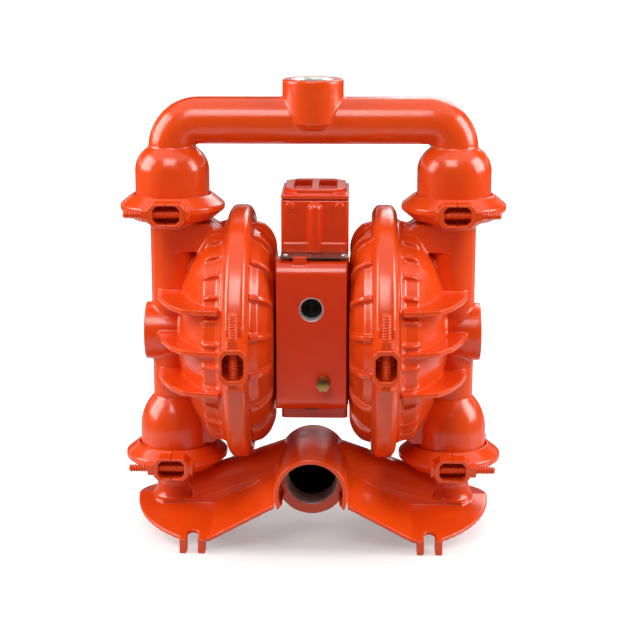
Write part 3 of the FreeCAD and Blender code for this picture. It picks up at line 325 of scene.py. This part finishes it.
def finish_for(slot_name):
    """The material of a record slot, made once from the add-on's settings."""
    coat = bpy.context.scene.pump_coat
    makers = {
        "painted_casting": lambda: powder_coat("powder_coat_on_casting", coat.orange, coat.orange_deep),
        # painted shade: a darker, redder copy of the coat for the shaded blocks
        "block_coat_painted_shade": lambda: powder_coat("powder_coat_on_block", coat.orange_deep, coat.orange_block_shade),
        "painted_clamp": lambda: powder_coat("powder_coat_on_clamp", coat.orange, coat.orange_deep),
        "painted_fastener": lambda: powder_coat("powder_coat_on_bolt", coat.orange, coat.orange_deep, 0.02),
        "brass": lambda: turned_metal("turned_brass", coat.brass, 0.5, 0.3, "Y"),
        "bare_steel": lambda: rolled_steel("rolled_mild_steel", coat.steel),
        "zinc": lambda: turned_metal("zinc_plated_steel", linear("D8D8D6"), 0.5, 0.3, "Z"),
        "port_thread": lambda: turned_metal("machined_aluminium", coat.bare, 0.6, 0.42, "Y", metallic=0.6),
        # painted shade: near-black faces deep in the passages, where the bores are dark
        "passage": lambda: passage_painted_shade("rough_cast_aluminium", linear("15130F"), 0.6),
        "piston_metal": lambda: turned_metal("turned_aluminium", linear("C4C4C6"), 0.8, 0.35, "X"),
        "seat_metal": lambda: turned_metal("turned_seat_aluminium", linear("BEBEC0"), 0.6, 0.3, "Z"),
        "valve_metal": lambda: turned_metal("hard_anodised_aluminium", linear("36373A"), 0.5, 0.42, "Z"),
        "diaphragm_rubber": lambda: moulded("moulded_nitrile_rubber", "1C1C1D", 0.55, 0.9),
        "valve_rubber": lambda: moulded("moulded_neoprene", "232324", 0.5, 0.8),
        "bush_plastic": lambda: moulded("turned_acetal", "DCD8CB", 0.35, 0.6),
        "gasket": lambda: moulded("gasket_sheet", "2A2A2C", 0.6, 0.5),
    }
    if slot_name not in FINISHES:
        FINISHES[slot_name] = makers[slot_name]()
    return FINISHES[slot_name]


def slot_of(node_name):
    """The record's material slot of a CAD node."""
    for part in frame["record"]["subparts"]:
        if part["node"] == node_name:
            return part["material_slot"]
    raise ValueError("no sub-part named " + node_name)


def coat_with(ob, slot_name):
    """Gives an object one finish."""
    ob.data.materials.clear()
    ob.data.materials.append(finish_for(slot_name))


def from_mesh(name, bm):
    """Links a new object that holds what was built in bm."""
    mesh = bpy.data.meshes.new(name)
    bm.to_mesh(mesh)
    bm.free()
    ob = bpy.data.objects.new(name, mesh)
    bpy.context.scene.collection.objects.link(ob)
    return ob


def skin_between(bm, loops, closed=True, smooth=True):
    """Faces between each loop of vertices and the next."""
    for first, second in zip(loops, loops[1:]):
        count = len(first)
        for i in range(count if closed else count - 1):
            j = (i + 1) % count
            bm.faces.new((first[i], first[j], second[j], second[i])).smooth = smooth


def close_ends(bm, loops):
    """A flat face on the first loop and one on the last."""
    bm.faces.new(list(reversed(loops[0])))
    bm.faces.new(loops[-1])


def apply_modifiers(ob):
    """Replaces the mesh by the one that its modifiers give."""
    bpy.context.view_layer.update()
    evaluated = ob.evaluated_get(bpy.context.evaluated_depsgraph_get())
    mesh = bpy.data.meshes.new_from_object(evaluated)
    ob.modifiers.clear()
    old = ob.data
    ob.data = mesh
    bpy.data.meshes.remove(old)


def in_bore(centre, bore):
    """Whether a point lies inside a bore: (start, direction, radius, length)."""
    start, direction, radius, length = bore
    along = (centre - start).dot(direction)
    return -MOUTH_SLACK < along < length and (centre - start - direction * along).length < radius


def port_bores():
    """The machined bores of the four ports, from the record's mounts."""
    bores = []
    for mount in frame["record"]["mounts"]:
        if mount["kind"] == "threaded_hole":
            radius = mount["dims"]["r_mm"] * MM + WALL_SLACK
            length = mount["dims"]["length_mm"] * MM
            bores.append((Vector(mount["pos_m"]), -Vector(mount["axis"]), radius, length))
    return bores


def faces_axis(polygon, bore):
    """Whether a face inside a casting looks towards the middle of a bore or out of its mouth."""
    start, direction = bore[:2]
    out = polygon.center - start
    out -= direction * out.dot(direction)
    return polygon.normal.dot(out) < 0.2 * out.length and polygon.normal.dot(direction) < 0.5


def line_bores(ob):
    """Inside the ports the wall is bare machined metal; the faces behind them get a near-black painted shade for the
    dark deep in the passages.
    """
    ob.data.materials.append(finish_for("port_thread"))
    ob.data.materials.append(finish_for("passage"))
    bores = port_bores()
    passages = [(start + direction * length * PASSAGE_START, direction, radius * PASSAGE_WIDTH, PASSAGE_DEPTH)
                for start, direction, radius, length in bores]
    for polygon in ob.data.polygons:
        if any(in_bore(polygon.center, bore) and faces_axis(polygon, bore) for bore in passages):
            polygon.material_index = 2
        elif any(in_bore(polygon.center, bore) for bore in bores):
            polygon.material_index = 1


def other_half(node_name):
    """The name of the clamp half that a clamp half is bolted to."""
    for one, other in (("inner", "outer"), ("outer", "inner"), ("large_clamp_upper", "large_clamp_lower"),
                       ("large_clamp_lower", "large_clamp_upper")):
        if one in node_name:
            return node_name.replace(one, other)
    raise ValueError("not a clamp half: " + node_name)


def split_of(node_name):
    """The plane between two clamp halves: its axis, place, the side of this half and half the gap."""
    low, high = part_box(node_name)
    low_2, high_2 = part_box(other_half(node_name))
    axis = 0 if "small" in node_name else 2
    if low[axis] + high[axis] > low_2[axis] + high_2[axis]:
        edge, end, side = low[axis], high_2[axis], 1
    else:
        edge, end, side = high[axis], low_2[axis], -1
    return axis, (edge + end) / 2, side, abs(edge - end) / 2


def close_split(ob, node_name, reach=0.0024, left_open=0.00012):
    """Draws a clamp half's ends up to the other half, so that the split is a fine line as on the real clamps."""
    axis, plane, side, gap = split_of(node_name)
    for vert in ob.data.vertices:
        away = (vert.co[axis] - plane) * side
        if away < reach:
            share = max(0.0, away - gap) / (reach - gap)
            vert.co[axis] = plane + side * (left_open + share * (reach - left_open))


def relax_skin(ob, rounds, moves):
    """Relaxes the vertices that moves() picks, which rounds the edges between them."""
    group = ob.vertex_groups.new(name="relaxed")
    group.add([v.index for v in ob.data.vertices if moves(v)], 1.0, "REPLACE")
    relax = ob.modifiers.new("relax", "SMOOTH")
    relax.factor = 0.5
    relax.iterations = rounds
    relax.vertex_group = group.name
    apply_modifiers(ob)
    ob.vertex_groups.clear()


def clear_bore(ob, node_name, room=0.0004, skin=0.0015, end=0.002):
    """Keeps a casting's skin clear of the round piece that slides in its bore along Z: the faces that the relaxed
    skin has up to skin inside the bore, from end under the piece upwards, go back to the bore's wall."""
    low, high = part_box(node_name)
    middle = (low + high) / 2
    radius = (high.x - low.x) / 2
    for vert in ob.data.vertices:
        out = Vector((vert.co.x - middle.x, vert.co.y - middle.y))
        if radius - skin < out.length < radius + room and vert.co.z > low.z - end:
            out *= (radius + room) / out.length
            vert.co.x = middle.x + out.x
            vert.co.y = middle.y + out.y


def trim_hood(ob, inner=0.023, outer=0.032, back=-0.054, mouth=-0.085, lift=1.3):
    """Cuts the two lower ends of the inlet hood on a slant, so that they run into the skirt's edge.
    inner and outer bound the hood's legs along X, back and mouth along Y."""
    legs = [v for v in ob.data.vertices if inner < abs(v.co.x) < outer and v.co.y < back]
    low = min(v.co.z for v in legs if v.co.y < mouth)
    for vert in legs:
        vert.co.z = max(vert.co.z, low + (outer - abs(vert.co.x)) * lift)


def cast_skin(node_name, grid, rounds):
    """A casting with every edge and corner rounded, made from the CAD solid: voxels, then relaxed faces."""
    source = frame["nodes"][node_name]
    bm = bmesh.new()
    bm.from_mesh(source.data)
    bmesh.ops.remove_doubles(bm, verts=bm.verts, dist=WELD)
    ob = from_mesh(node_name + "_cast", bm)
    remesh = ob.modifiers.new("grid", "REMESH")
    remesh.mode = "VOXEL"
    remesh.voxel_size = grid
    remesh.use_smooth_shade = True
    apply_modifiers(ob)
    if slot_of(node_name) == "painted_clamp":
        axis, plane, _, gap = split_of(node_name)
        relax_skin(ob, rounds, lambda v: abs(v.co[axis] - plane) > gap + SPLIT_KEPT)
        if node_name.startswith("large_clamp"):
            relax_skin(ob, BAND_ROUNDS, lambda v: abs(v.co.z - plane) > BAND_LUG)
        close_split(ob, node_name)
    else:
        relax_skin(ob, rounds, lambda v: True)
    if node_name == "inlet_manifold":
        trim_hood(ob)
    if node_name == "air_valve_body":
        clear_bore(ob, "air_valve_spool")
    for polygon in ob.data.polygons:
        polygon.use_smooth = True
    ob.data.name = ob.name
    coat_with(ob, "block_coat_painted_shade" if node_name in BLOCK_NODES else slot_of(node_name))
    if node_name in BORED_NODES:
        line_bores(ob)
    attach(ob, "root")
    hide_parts(node_name)


def lathe(name, rings, steps=96):
    """A surface of revolution about Z from (radius, height) pairs."""
    bm = bmesh.new()
    turns = [math.tau * i / steps for i in range(steps)]
    loops = [[bm.verts.new((radius * math.cos(turn), radius * math.sin(turn), height)) for turn in turns]
             for radius, height in rings]
    skin_between(bm, loops)
    return from_mesh(name, bm)


def add_screw_thread(bm, radius, low, high, pitch, depth, steps=32, taper=0.0015, drop=0.0007):
    """A threaded rod along Z: a fine grid whose radius follows the helix, and falls by drop over the taper at
    both ends. The real pitch is about 1.6 mm, too fine to show under the coat, so it is drawn wider."""
    rows = max(2, int((high - low) / pitch * ROWS_PER_PITCH))
    loops = []
    for row in range(rows + 1):
        z = low + (high - low) * row / rows
        end = min(1.0, min(z - low, high - z) / taper)
        loop = []
        for i in range(steps):
            turn = i / steps
            phase = (z / pitch - turn) % 1.0
            wave = 0.5 - 0.5 * math.cos(math.tau * phase)
            r = radius - depth * (1 - wave) - drop * (1 - end)
            loop.append(bm.verts.new((r * math.cos(math.tau * turn), r * math.sin(math.tau * turn), z)))
        loops.append(loop)
    skin_between(bm, loops)
    close_ends(bm, loops)


def add_hexagon(bm, flats, low, high, chamfer=0.35, bore=0.0, steps=72):
    """A hexagon nut or head along Z. A turned chamfer on both faces leaves a round land just inside the flats."""
    apothem = flats / 2
    land, chamfer_start = apothem * 0.95, apothem * 0.97
    sides = []
    for i in range(steps):
        angle = math.tau * i / steps
        r = apothem / math.cos((angle % (math.pi / 3)) - math.pi / 6)
        drop = (r - chamfer_start) * chamfer
        rim = [(land, low), (r, low + drop), (r, high - drop), (land, high)]
        if bore > 0:
            rim = [(bore, low)] + rim + [(bore, high)]
        sides.append([bm.verts.new((radius * math.cos(angle), radius * math.sin(angle), z)) for radius, z in rim])
    for first, second in zip(sides, sides[1:] + sides[:1]):
        for k in range(len(first) - 1):
            bm.faces.new((first[k], second[k], second[k + 1], first[k + 1]))
    if bore == 0:
        bm.faces.new([side[0] for side in reversed(sides)])
        bm.faces.new([side[-1] for side in sides])


def stand(bm, start, matrix):
    """Moves what was added since start by a matrix."""
    bm.verts.ensure_lookup_table()
    bmesh.ops.transform(bm, matrix=matrix, verts=bm.verts[start:])


def sharpen(ob, degrees=50):
    """Smooth shading with sharp edges kept above an angle."""
    ob.data.set_sharp_from_angle(angle=math.radians(degrees))


def shown(ob, slot_name="painted_fastener", replaced=()):
    """Finishes a new piece on the root body: gives it the material of a slot and hides the CAD nodes it stands for.
    """
    coat_with(ob, slot_name)
    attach(ob, "root")
    if replaced:
        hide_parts(*replaced)
    return ob


class MESH_OT_pump_castings(bpy.types.Operator):
    """Round the edges of the pump's large castings"""
    bl_idname = "mesh.pump_castings"
    bl_label = "Castings"

    def execute(self, context):
        settings = context.scene.pump_casting
        for name in ("discharge_manifold", "inlet_manifold", "liquid_chamber_left", "liquid_chamber_right",
                     "air_chamber_left", "air_chamber_right"):
            cast_skin(name, settings.grid, settings.rounds)
        for name in BLOCK_NODES:
            cast_skin(name, settings.fine_grid, settings.rounds)
        return {"FINISHED"}


class MESH_OT_pump_clamps(bpy.types.Operator):
    """Round the edges of the clamp halves"""
    bl_idname = "mesh.pump_clamps"
    bl_label = "Clamps"

    def execute(self, context):
        settings = context.scene.pump_casting
        for name in sorted(frame["nodes"]):
            if slot_of(name) == "painted_clamp":
                cast_skin(name, settings.fine_grid, settings.rounds * 2)
        return {"FINISHED"}


def clamp_bolts(context, nuts_node, bolts_node, along, flats, nut_height, radius, head_flats, head_height):
    """Threaded bolts, nuts and heads at every place of a pair of CAD groups. along is 'X' or 'Z'."""
    thread = context.scene.pump_thread
    bolts = bmesh.new()
    nuts = bmesh.new()
    axis = "XYZ".index(along)
    for low, high in islands(bolts_node):
        middle = (low + high) / 2
        length = (high - low)[axis]
        outward = 1 if along == "Z" or middle.x > 0 else -1
        turn = Matrix.Identity(4) if along == "Z" else Matrix.Rotation(math.radians(90) * outward, 4, "Y")
        base = Vector(middle)
        base[axis] = (low if outward > 0 else high)[axis]
        start = len(bolts.verts)
        add_screw_thread(bolts, radius, head_height - OVERLAP, length, thread.pitch, thread.depth)
        add_hexagon(bolts, head_flats, 0, head_height)
        stand(bolts, start, Matrix.Translation(base) @ turn)
    for low, high in islands(nuts_node):
        middle = (low + high) / 2
        turn = Matrix.Identity(4) if along == "Z" else Matrix.Rotation(math.radians(90), 4, "Y")
        start = len(nuts.verts)
        add_hexagon(nuts, flats, -nut_height / 2, nut_height / 2, bore=radius - 0.0003)   # just inside the crests
        stand(nuts, start, Matrix.Translation(middle) @ turn)
    sharpen(shown(from_mesh(bolts_node + "_threaded", bolts), replaced=(bolts_node,)))
    sharpen(shown(from_mesh(nuts_node + "_hexagon", nuts), replaced=(nuts_node,)))


def islands(node_name):
    """(lowest, highest) corner of each separate solid in a CAD node."""
    bm = bmesh.new()
    bm.from_mesh(frame["nodes"][node_name].data)
    bmesh.ops.remove_doubles(bm, verts=bm.verts, dist=0.00001)
    bm.verts.ensure_lookup_table()
    seen = set()
    found = []
    for vert in bm.verts:
        if vert.index in seen:
            continue
        stack = [vert]
        seen.add(vert.index)
        group = []
        while stack:
            here = stack.pop()
            group.append(here.co.copy())
            for edge in here.link_edges:
                other = edge.other_vert(here)
                if other.index not in seen:
                    seen.add(other.index)
                    stack.append(other)
        found.append((Vector([min(p[k] for p in group) for k in range(3)]),
                      Vector([max(p[k] for p in group) for k in range(3)])))
    bm.free()
    return found


class MESH_OT_pump_bolts(bpy.types.Operator):
    """Make the threaded clamp bolts and their nuts"""
    bl_idname = "mesh.pump_bolts"
    bl_label = "Clamp bolts and nuts"

    def execute(self, context):
        clamp_bolts(context, "small_clamp_nuts", "small_clamp_bolts", "X", flats=0.0127, nut_height=0.0058,
                    radius=0.0039, head_flats=0.0135, head_height=0.004)
        clamp_bolts(context, "large_clamp_nuts", "large_clamp_bolts", "Z", flats=0.015, nut_height=0.0075,
                    radius=0.0047, head_flats=0.015, head_height=0.005)
        return {"FINISHED"}


def port_thread(name, radius, length, place, direction, pitch=0.0022, depth=0.0006):
    """Machined thread inside a port: a short bore with fine grooves, open at both ends and chamfered at its mouth."""
    crest = radius - 0.0002
    rings = [(radius + 0.0004, -0.0001), (crest, -0.0008)]
    first_groove, plain_end = -0.0014, 0.002
    for i in range(int((length - plain_end) / pitch)):
        z = first_groove - i * pitch
        rings += [(crest, z), (crest - depth, z - pitch * 0.45), (crest - depth, z - pitch * 0.55)]
    rings.append((crest, -length))
    ob = lathe(name, rings)
    turn = Vector((0, 0, 1)).rotation_difference(Vector(direction)).to_matrix().to_4x4()
    ob.data.transform(Matrix.Translation(Vector(place)) @ turn)
    return ob


class MESH_OT_pump_ports(bpy.types.Operator):
    """Cut the bare metal threads of the four ports"""
    bl_idname = "mesh.pump_ports"
    bl_label = "Port threads"

    def execute(self, context):
        for mount in frame["record"]["mounts"]:
            if mount["kind"] != "threaded_hole":
                continue
            radius = mount["dims"]["r_mm"] * MM
            length = mount["dims"]["length_mm"] * MM
            shown(port_thread(mount["name"] + "_thread", radius, length, mount["pos_m"], mount["axis"]),
                  slot_name="port_thread")
        return {"FINISHED"}


class MESH_OT_pump_plug(bpy.types.Operator):
    """Make the brass hexagon plug"""
    bl_idname = "mesh.pump_plug"
    bl_label = "Brass plug"

    def execute(self, context):
        low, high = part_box("brass_plug")
        middle = (low + high) / 2
        bm = bmesh.new()
        add_hexagon(bm, PLUG_FLATS, 0, PLUG_HEAD, chamfer=0.5)
        head = from_mesh("brass_plug_hexagon", bm)
        collar = lathe("brass_plug_collar", [
            (0, 0.0), (0.0064, 0.0), (0.0067, 0.0004), (0.0067, 0.0031), (0.0063, 0.0036), (0, 0.0036)])
        facing = Matrix.Rotation(math.radians(90), 4, "X")
        for ob, back in ((head, PLUG_HEAD), (collar, PLUG_COLLAR_END)):
            ob.data.transform(Matrix.Translation((middle.x, low.y + back, middle.z)) @ facing)
            sharpen(shown(ob, slot_name="brass"))
        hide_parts("brass_plug")
        return {"FINISHED"}


def diaphragm_profile(steps=14):
    """Section of the right diaphragm as (x, radius): flat middle, one convolution and a beaded rim."""
    half, bulge = 0.002, 0.0078
    hole, waist, cavity, edge = 0.0122, 0.0635, 0.0975, 0.1142
    bead_in, bead_out, rise, slope = 0.1040, 0.1085, 0.0013, 0.001
    face = DIAPHRAGM_PLANE - half
    air = [(face, hole), (face, 0.03), (face, 0.05)]
    air += [(face + math.sin(math.pi * i / steps) ** 1.3 * bulge, waist + (cavity - waist) * i / steps)
            for i in range(steps + 1)]
    air += [(face, bead_in), (face - rise, bead_in + slope), (face - rise, bead_out - slope), (face, bead_out),
            (face, edge)]
    liquid = [(2 * DIAPHRAGM_PLANE - x if x < face else x + 2 * half, r) for x, r in air]
    return air + liquid[::-1]


def diaphragm_sector(name, side, middle, turn, steps=10):
    """One closed sector of a diaphragm, about the direction turn."""
    bm = bmesh.new()
    loops = []
    for i in range(steps + 1):
        angle = turn - math.pi / SECTORS + math.tau / SECTORS * i / steps
        loops.append([bm.verts.new((side * x, middle.y + r * math.cos(angle), middle.z + r * math.sin(angle)))
                      for x, r in diaphragm_profile()])
    skin_between(bm, loops)
    close_ends(bm, loops)
    bmesh.ops.recalc_face_normals(bm, faces=bm.faces)
    return from_mesh("%s_sector_%d" % (name, round(math.degrees(turn))), bm)


class MESH_OT_pump_diaphragms(bpy.types.Operator):
    """Make the rubber diaphragms, each in sectors made alike round its middle"""
    bl_idname = "mesh.pump_diaphragms"
    bl_label = "Diaphragms"

    def execute(self, context):
        for name, side in (("diaphragm_left", -1), ("diaphragm_right", 1)):
            low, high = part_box(name)
            middle = (low + high) / 2
            for i in range(SECTORS):
                turn = math.tau * i / SECTORS
                sector = diaphragm_sector(name, side, middle, turn)
                sharpen(sector)
                coat_with(sector, slot_of(name))
                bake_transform(sector)
                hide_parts(name)
        return {"FINISHED"}


class MESH_OT_pump_screws(bpy.types.Operator):
    """Make the two pan heads, each with a small recess, on the steel plate"""
    bl_idname = "mesh.pump_screws"
    bl_label = "Plate screws"

    def execute(self, context):
        heads = bmesh.new()
        turns = [math.tau * i / 32 for i in range(32)]
        for low, high in islands("steel_plate_screws"):
            middle = (low + high) / 2
            radius = (high.x - low.x) / 2
            rings = [(radius, high.z - 0.0016), (radius, high.z - 0.0008), (radius * 0.8, high.z - 0.0002),
                     (radius * 0.45, high.z), (radius * 0.16, high.z), (radius * 0.16, high.z - 0.0007)]
            loops = [[heads.verts.new((middle.x + r * math.cos(turn), middle.y + r * math.sin(turn), z))
                      for turn in turns] for r, z in rings]
            skin_between(heads, loops)
            close_ends(heads, loops)
        ob = from_mesh("steel_plate_screws_heads", heads)
        ob.data.materials.append(finish_for("zinc"))
        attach(ob, "root")
        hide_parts("steel_plate_screws")
        return {"FINISHED"}


class MESH_OT_pump_finishes(bpy.types.Operator):
    """Give every CAD node that stays as it is its finish"""
    bl_idname = "mesh.pump_finishes"
    bl_label = "Finishes of the other parts"

    def execute(self, context):
        for name, ob in frame["nodes"].items():
            coat_with(ob, slot_of(name))
        return {"FINISHED"}


class SCENE_OT_pump_studio(bpy.types.Operator):
    """Set up the white floor, the lamps and the camera"""
    bl_idname = "scene.pump_studio"
    bl_label = "Studio"

    def execute(self, context):
        studio = context.scene.pump_studio
        white_floor()
        white_world(context)
        dark_cards()
        for name, place, aim, width, height, power in LAMPS:
            light = bpy.data.lights.new(name, "AREA")
            light.shape = "RECTANGLE"
            light.size = width
            light.size_y = height
            light.energy = getattr(studio, power)
            lamp = bpy.data.objects.new(name, light)
            lamp.location = place
            lamp.rotation_mode = "QUATERNION"
            lamp.rotation_quaternion = (Vector(aim) - Vector(place)).to_track_quat("-Z", "Y")
            context.scene.collection.objects.link(lamp)
        camera = bpy.data.objects.new("camera", bpy.data.cameras.new("camera"))
        camera.data.lens = studio.lens
        camera.data.sensor_width = SENSOR_WIDTH
        camera.location = (studio.side, -studio.distance, studio.height)
        camera.rotation_euler = (math.radians(90) - studio.pitch, 0, studio.yaw)
        context.scene.collection.objects.link(camera)
        context.scene.camera = camera
        context.scene.view_settings.view_transform = "Standard"
        return {"FINISHED"}


def dark_cards():
    """Black cards of matt board: a wall all round, with an open slot behind the pump, and a mat in front of it.
    Only reflections see them; they keep the coat deep where it faces the room."""
    material, tree, shader, where = new_material("black_card")
    tree.links.new(two_tone(tree, blotches(tree, where, 200), (0.01, 0.01, 0.01), (0.012, 0.012, 0.012)),
                   shader.inputs["Base Color"])
    shader.inputs["Roughness"].default_value = 0.9
    bm = bmesh.new()
    steps = 24
    for first, last, profile in (
            (-110, 110, ((CARD_NEAR, CARD_FOOT), (CARD_FAR, CARD_FOOT), (CARD_FAR, CARD_TOP))),
            (110, 250, ((CARD_FAR, CARD_FOOT), (CARD_FAR, CARD_SLOT[0]))),
            (110, 250, ((CARD_FAR, CARD_SLOT[1]), (CARD_FAR, CARD_TOP)))):
        turns = [math.radians(first + (last - first) * i / steps) for i in range(steps + 1)]
        rows = [[bm.verts.new((radius * math.sin(turn), -radius * math.cos(turn), z)) for turn in turns]
                for radius, z in profile]
        skin_between(bm, rows, closed=False, smooth=False)
    card = from_mesh("black_cards", bm)
    card.data.materials.append(material)
    for ray in ("camera", "diffuse", "shadow", "transmission", "volume_scatter"):
        setattr(card, "visible_" + ray, False)


def white_floor():
    """A plain table under the pump."""
    bm = bmesh.new()
    bmesh.ops.create_grid(bm, x_segments=8, y_segments=8, size=FLOOR_HALF)
    floor = from_mesh("floor", bm)
    floor.data.materials.append(floor_finish())


def floor_finish():
    """White lacquered board, which mirrors the feet faintly. For camera rays it has a painted glow that lifts it to
    white away from the pump; the glow is weaker near the pump, so the floor there stays darker and keeps the pump's
    shadow."""
    material, tree, shader, where = new_material("white_lacquered_board")
    tree.links.new(two_tone(tree, blotches(tree, where, 300), (0.6, 0.6, 0.6), (0.58, 0.58, 0.58)),
                   shader.inputs["Base Color"])
    shader.inputs["Roughness"].default_value = 0.12
    path = tree.nodes.new("ShaderNodeLightPath")
    away = node(tree, "ShaderNodeVectorMath", {"operation": "LENGTH"}, {0: where})
    # painted glow for camera rays: weaker near the pump, full white from 0.34 m out
    reach = node(tree, "ShaderNodeMapRange", {"From Min": 0.10, "From Max": 0.34, "To Min": 0.33, "To Max": 1.0},
                 {"Value": away.outputs["Value"]})
    lift = node(tree, "ShaderNodeMath", {"operation": "MULTIPLY"},
                {0: path.outputs["Is Camera Ray"], 1: reach.outputs["Result"]})
    glow = node(tree, "ShaderNodeEmission", {}, {"Strength": lift.outputs[0]})
    both = node(tree, "ShaderNodeAddShader")
    tree.links.new(shader.outputs["BSDF"], both.inputs[0])
    tree.links.new(glow.outputs["Emission"], both.inputs[1])
    out = [n for n in tree.nodes if n.type == "OUTPUT_MATERIAL"][0]
    tree.links.new(both.outputs[0], out.inputs["Surface"])
    return material


def white_world(context):
    """Plain light all round; what the camera and reflections see of it is white."""
    world = bpy.data.worlds.new("white_studio")
    context.scene.world = world
    world.use_nodes = True
    tree = world.node_tree
    tree.nodes.clear()
    path = tree.nodes.new("ShaderNodeLightPath")
    seen = node(tree, "ShaderNodeMath", {"operation": "MAXIMUM"},
                {0: path.outputs["Is Camera Ray"], 1: path.outputs["Is Glossy Ray"]})
    seen = node(tree, "ShaderNodeMath", {"operation": "MAXIMUM"},
                {0: seen.outputs[0], 1: path.outputs["Is Transmission Ray"]})
    level = node(tree, "ShaderNodeMapRange", {"To Min": 0.17, "To Max": 1.0}, {"Value": seen.outputs[0]})
    back = node(tree, "ShaderNodeBackground", {"Color": (1, 1, 1, 1)}, {"Strength": level.outputs["Result"]})
    out = tree.nodes.new("ShaderNodeOutputWorld")
    tree.links.new(back.outputs[0], out.inputs["Surface"])


STEPS = (
    ("mesh", "pump_finishes"), ("mesh", "pump_castings"), ("mesh", "pump_clamps"), ("mesh", "pump_bolts"),
    ("mesh", "pump_ports"), ("mesh", "pump_plug"), ("mesh", "pump_screws"),
    ("mesh", "pump_diaphragms"),
    ("scene", "pump_studio"),
)


class VIEW3D_PT_pump(bpy.types.Panel):
    """The pump's steps and settings"""
    bl_label = "Diaphragm pump"
    bl_space_type = "VIEW_3D"
    bl_region_type = "UI"
    bl_category = "Pump"

    def draw(self, context):
        for group, name in STEPS:
            self.layout.operator(group + "." + name)
        for settings in ("pump_coat", "pump_casting", "pump_thread", "pump_studio"):
            held = getattr(context.scene, settings)
            for prop in held.bl_rna.properties:
                if prop.identifier not in ("rna_type", "name"):
                    self.layout.prop(held, prop.identifier)


CLASSES = (
    CoatSettings, CastingSettings, ThreadSettings, StudioSettings, MESH_OT_pump_finishes, MESH_OT_pump_castings,
    MESH_OT_pump_clamps, MESH_OT_pump_bolts, MESH_OT_pump_ports, MESH_OT_pump_plug, MESH_OT_pump_screws,
    MESH_OT_pump_diaphragms, SCENE_OT_pump_studio, VIEW3D_PT_pump,
)


def register():
    for cls in CLASSES:
        bpy.utils.register_class(cls)
    bpy.types.Scene.pump_coat = PointerProperty(type=CoatSettings)
    bpy.types.Scene.pump_casting = PointerProperty(type=CastingSettings)
    bpy.types.Scene.pump_thread = PointerProperty(type=ThreadSettings)
    bpy.types.Scene.pump_studio = PointerProperty(type=StudioSettings)


def unregister():
    for name in ("pump_studio", "pump_thread", "pump_casting", "pump_coat"):
        delattr(bpy.types.Scene, name)
    for cls in reversed(CLASSES):
        bpy.utils.unregister_class(cls)


def main():
    register()
    for group, name in STEPS:
        getattr(getattr(bpy.ops, group), name)()


if __name__ == "__main__":
    main()
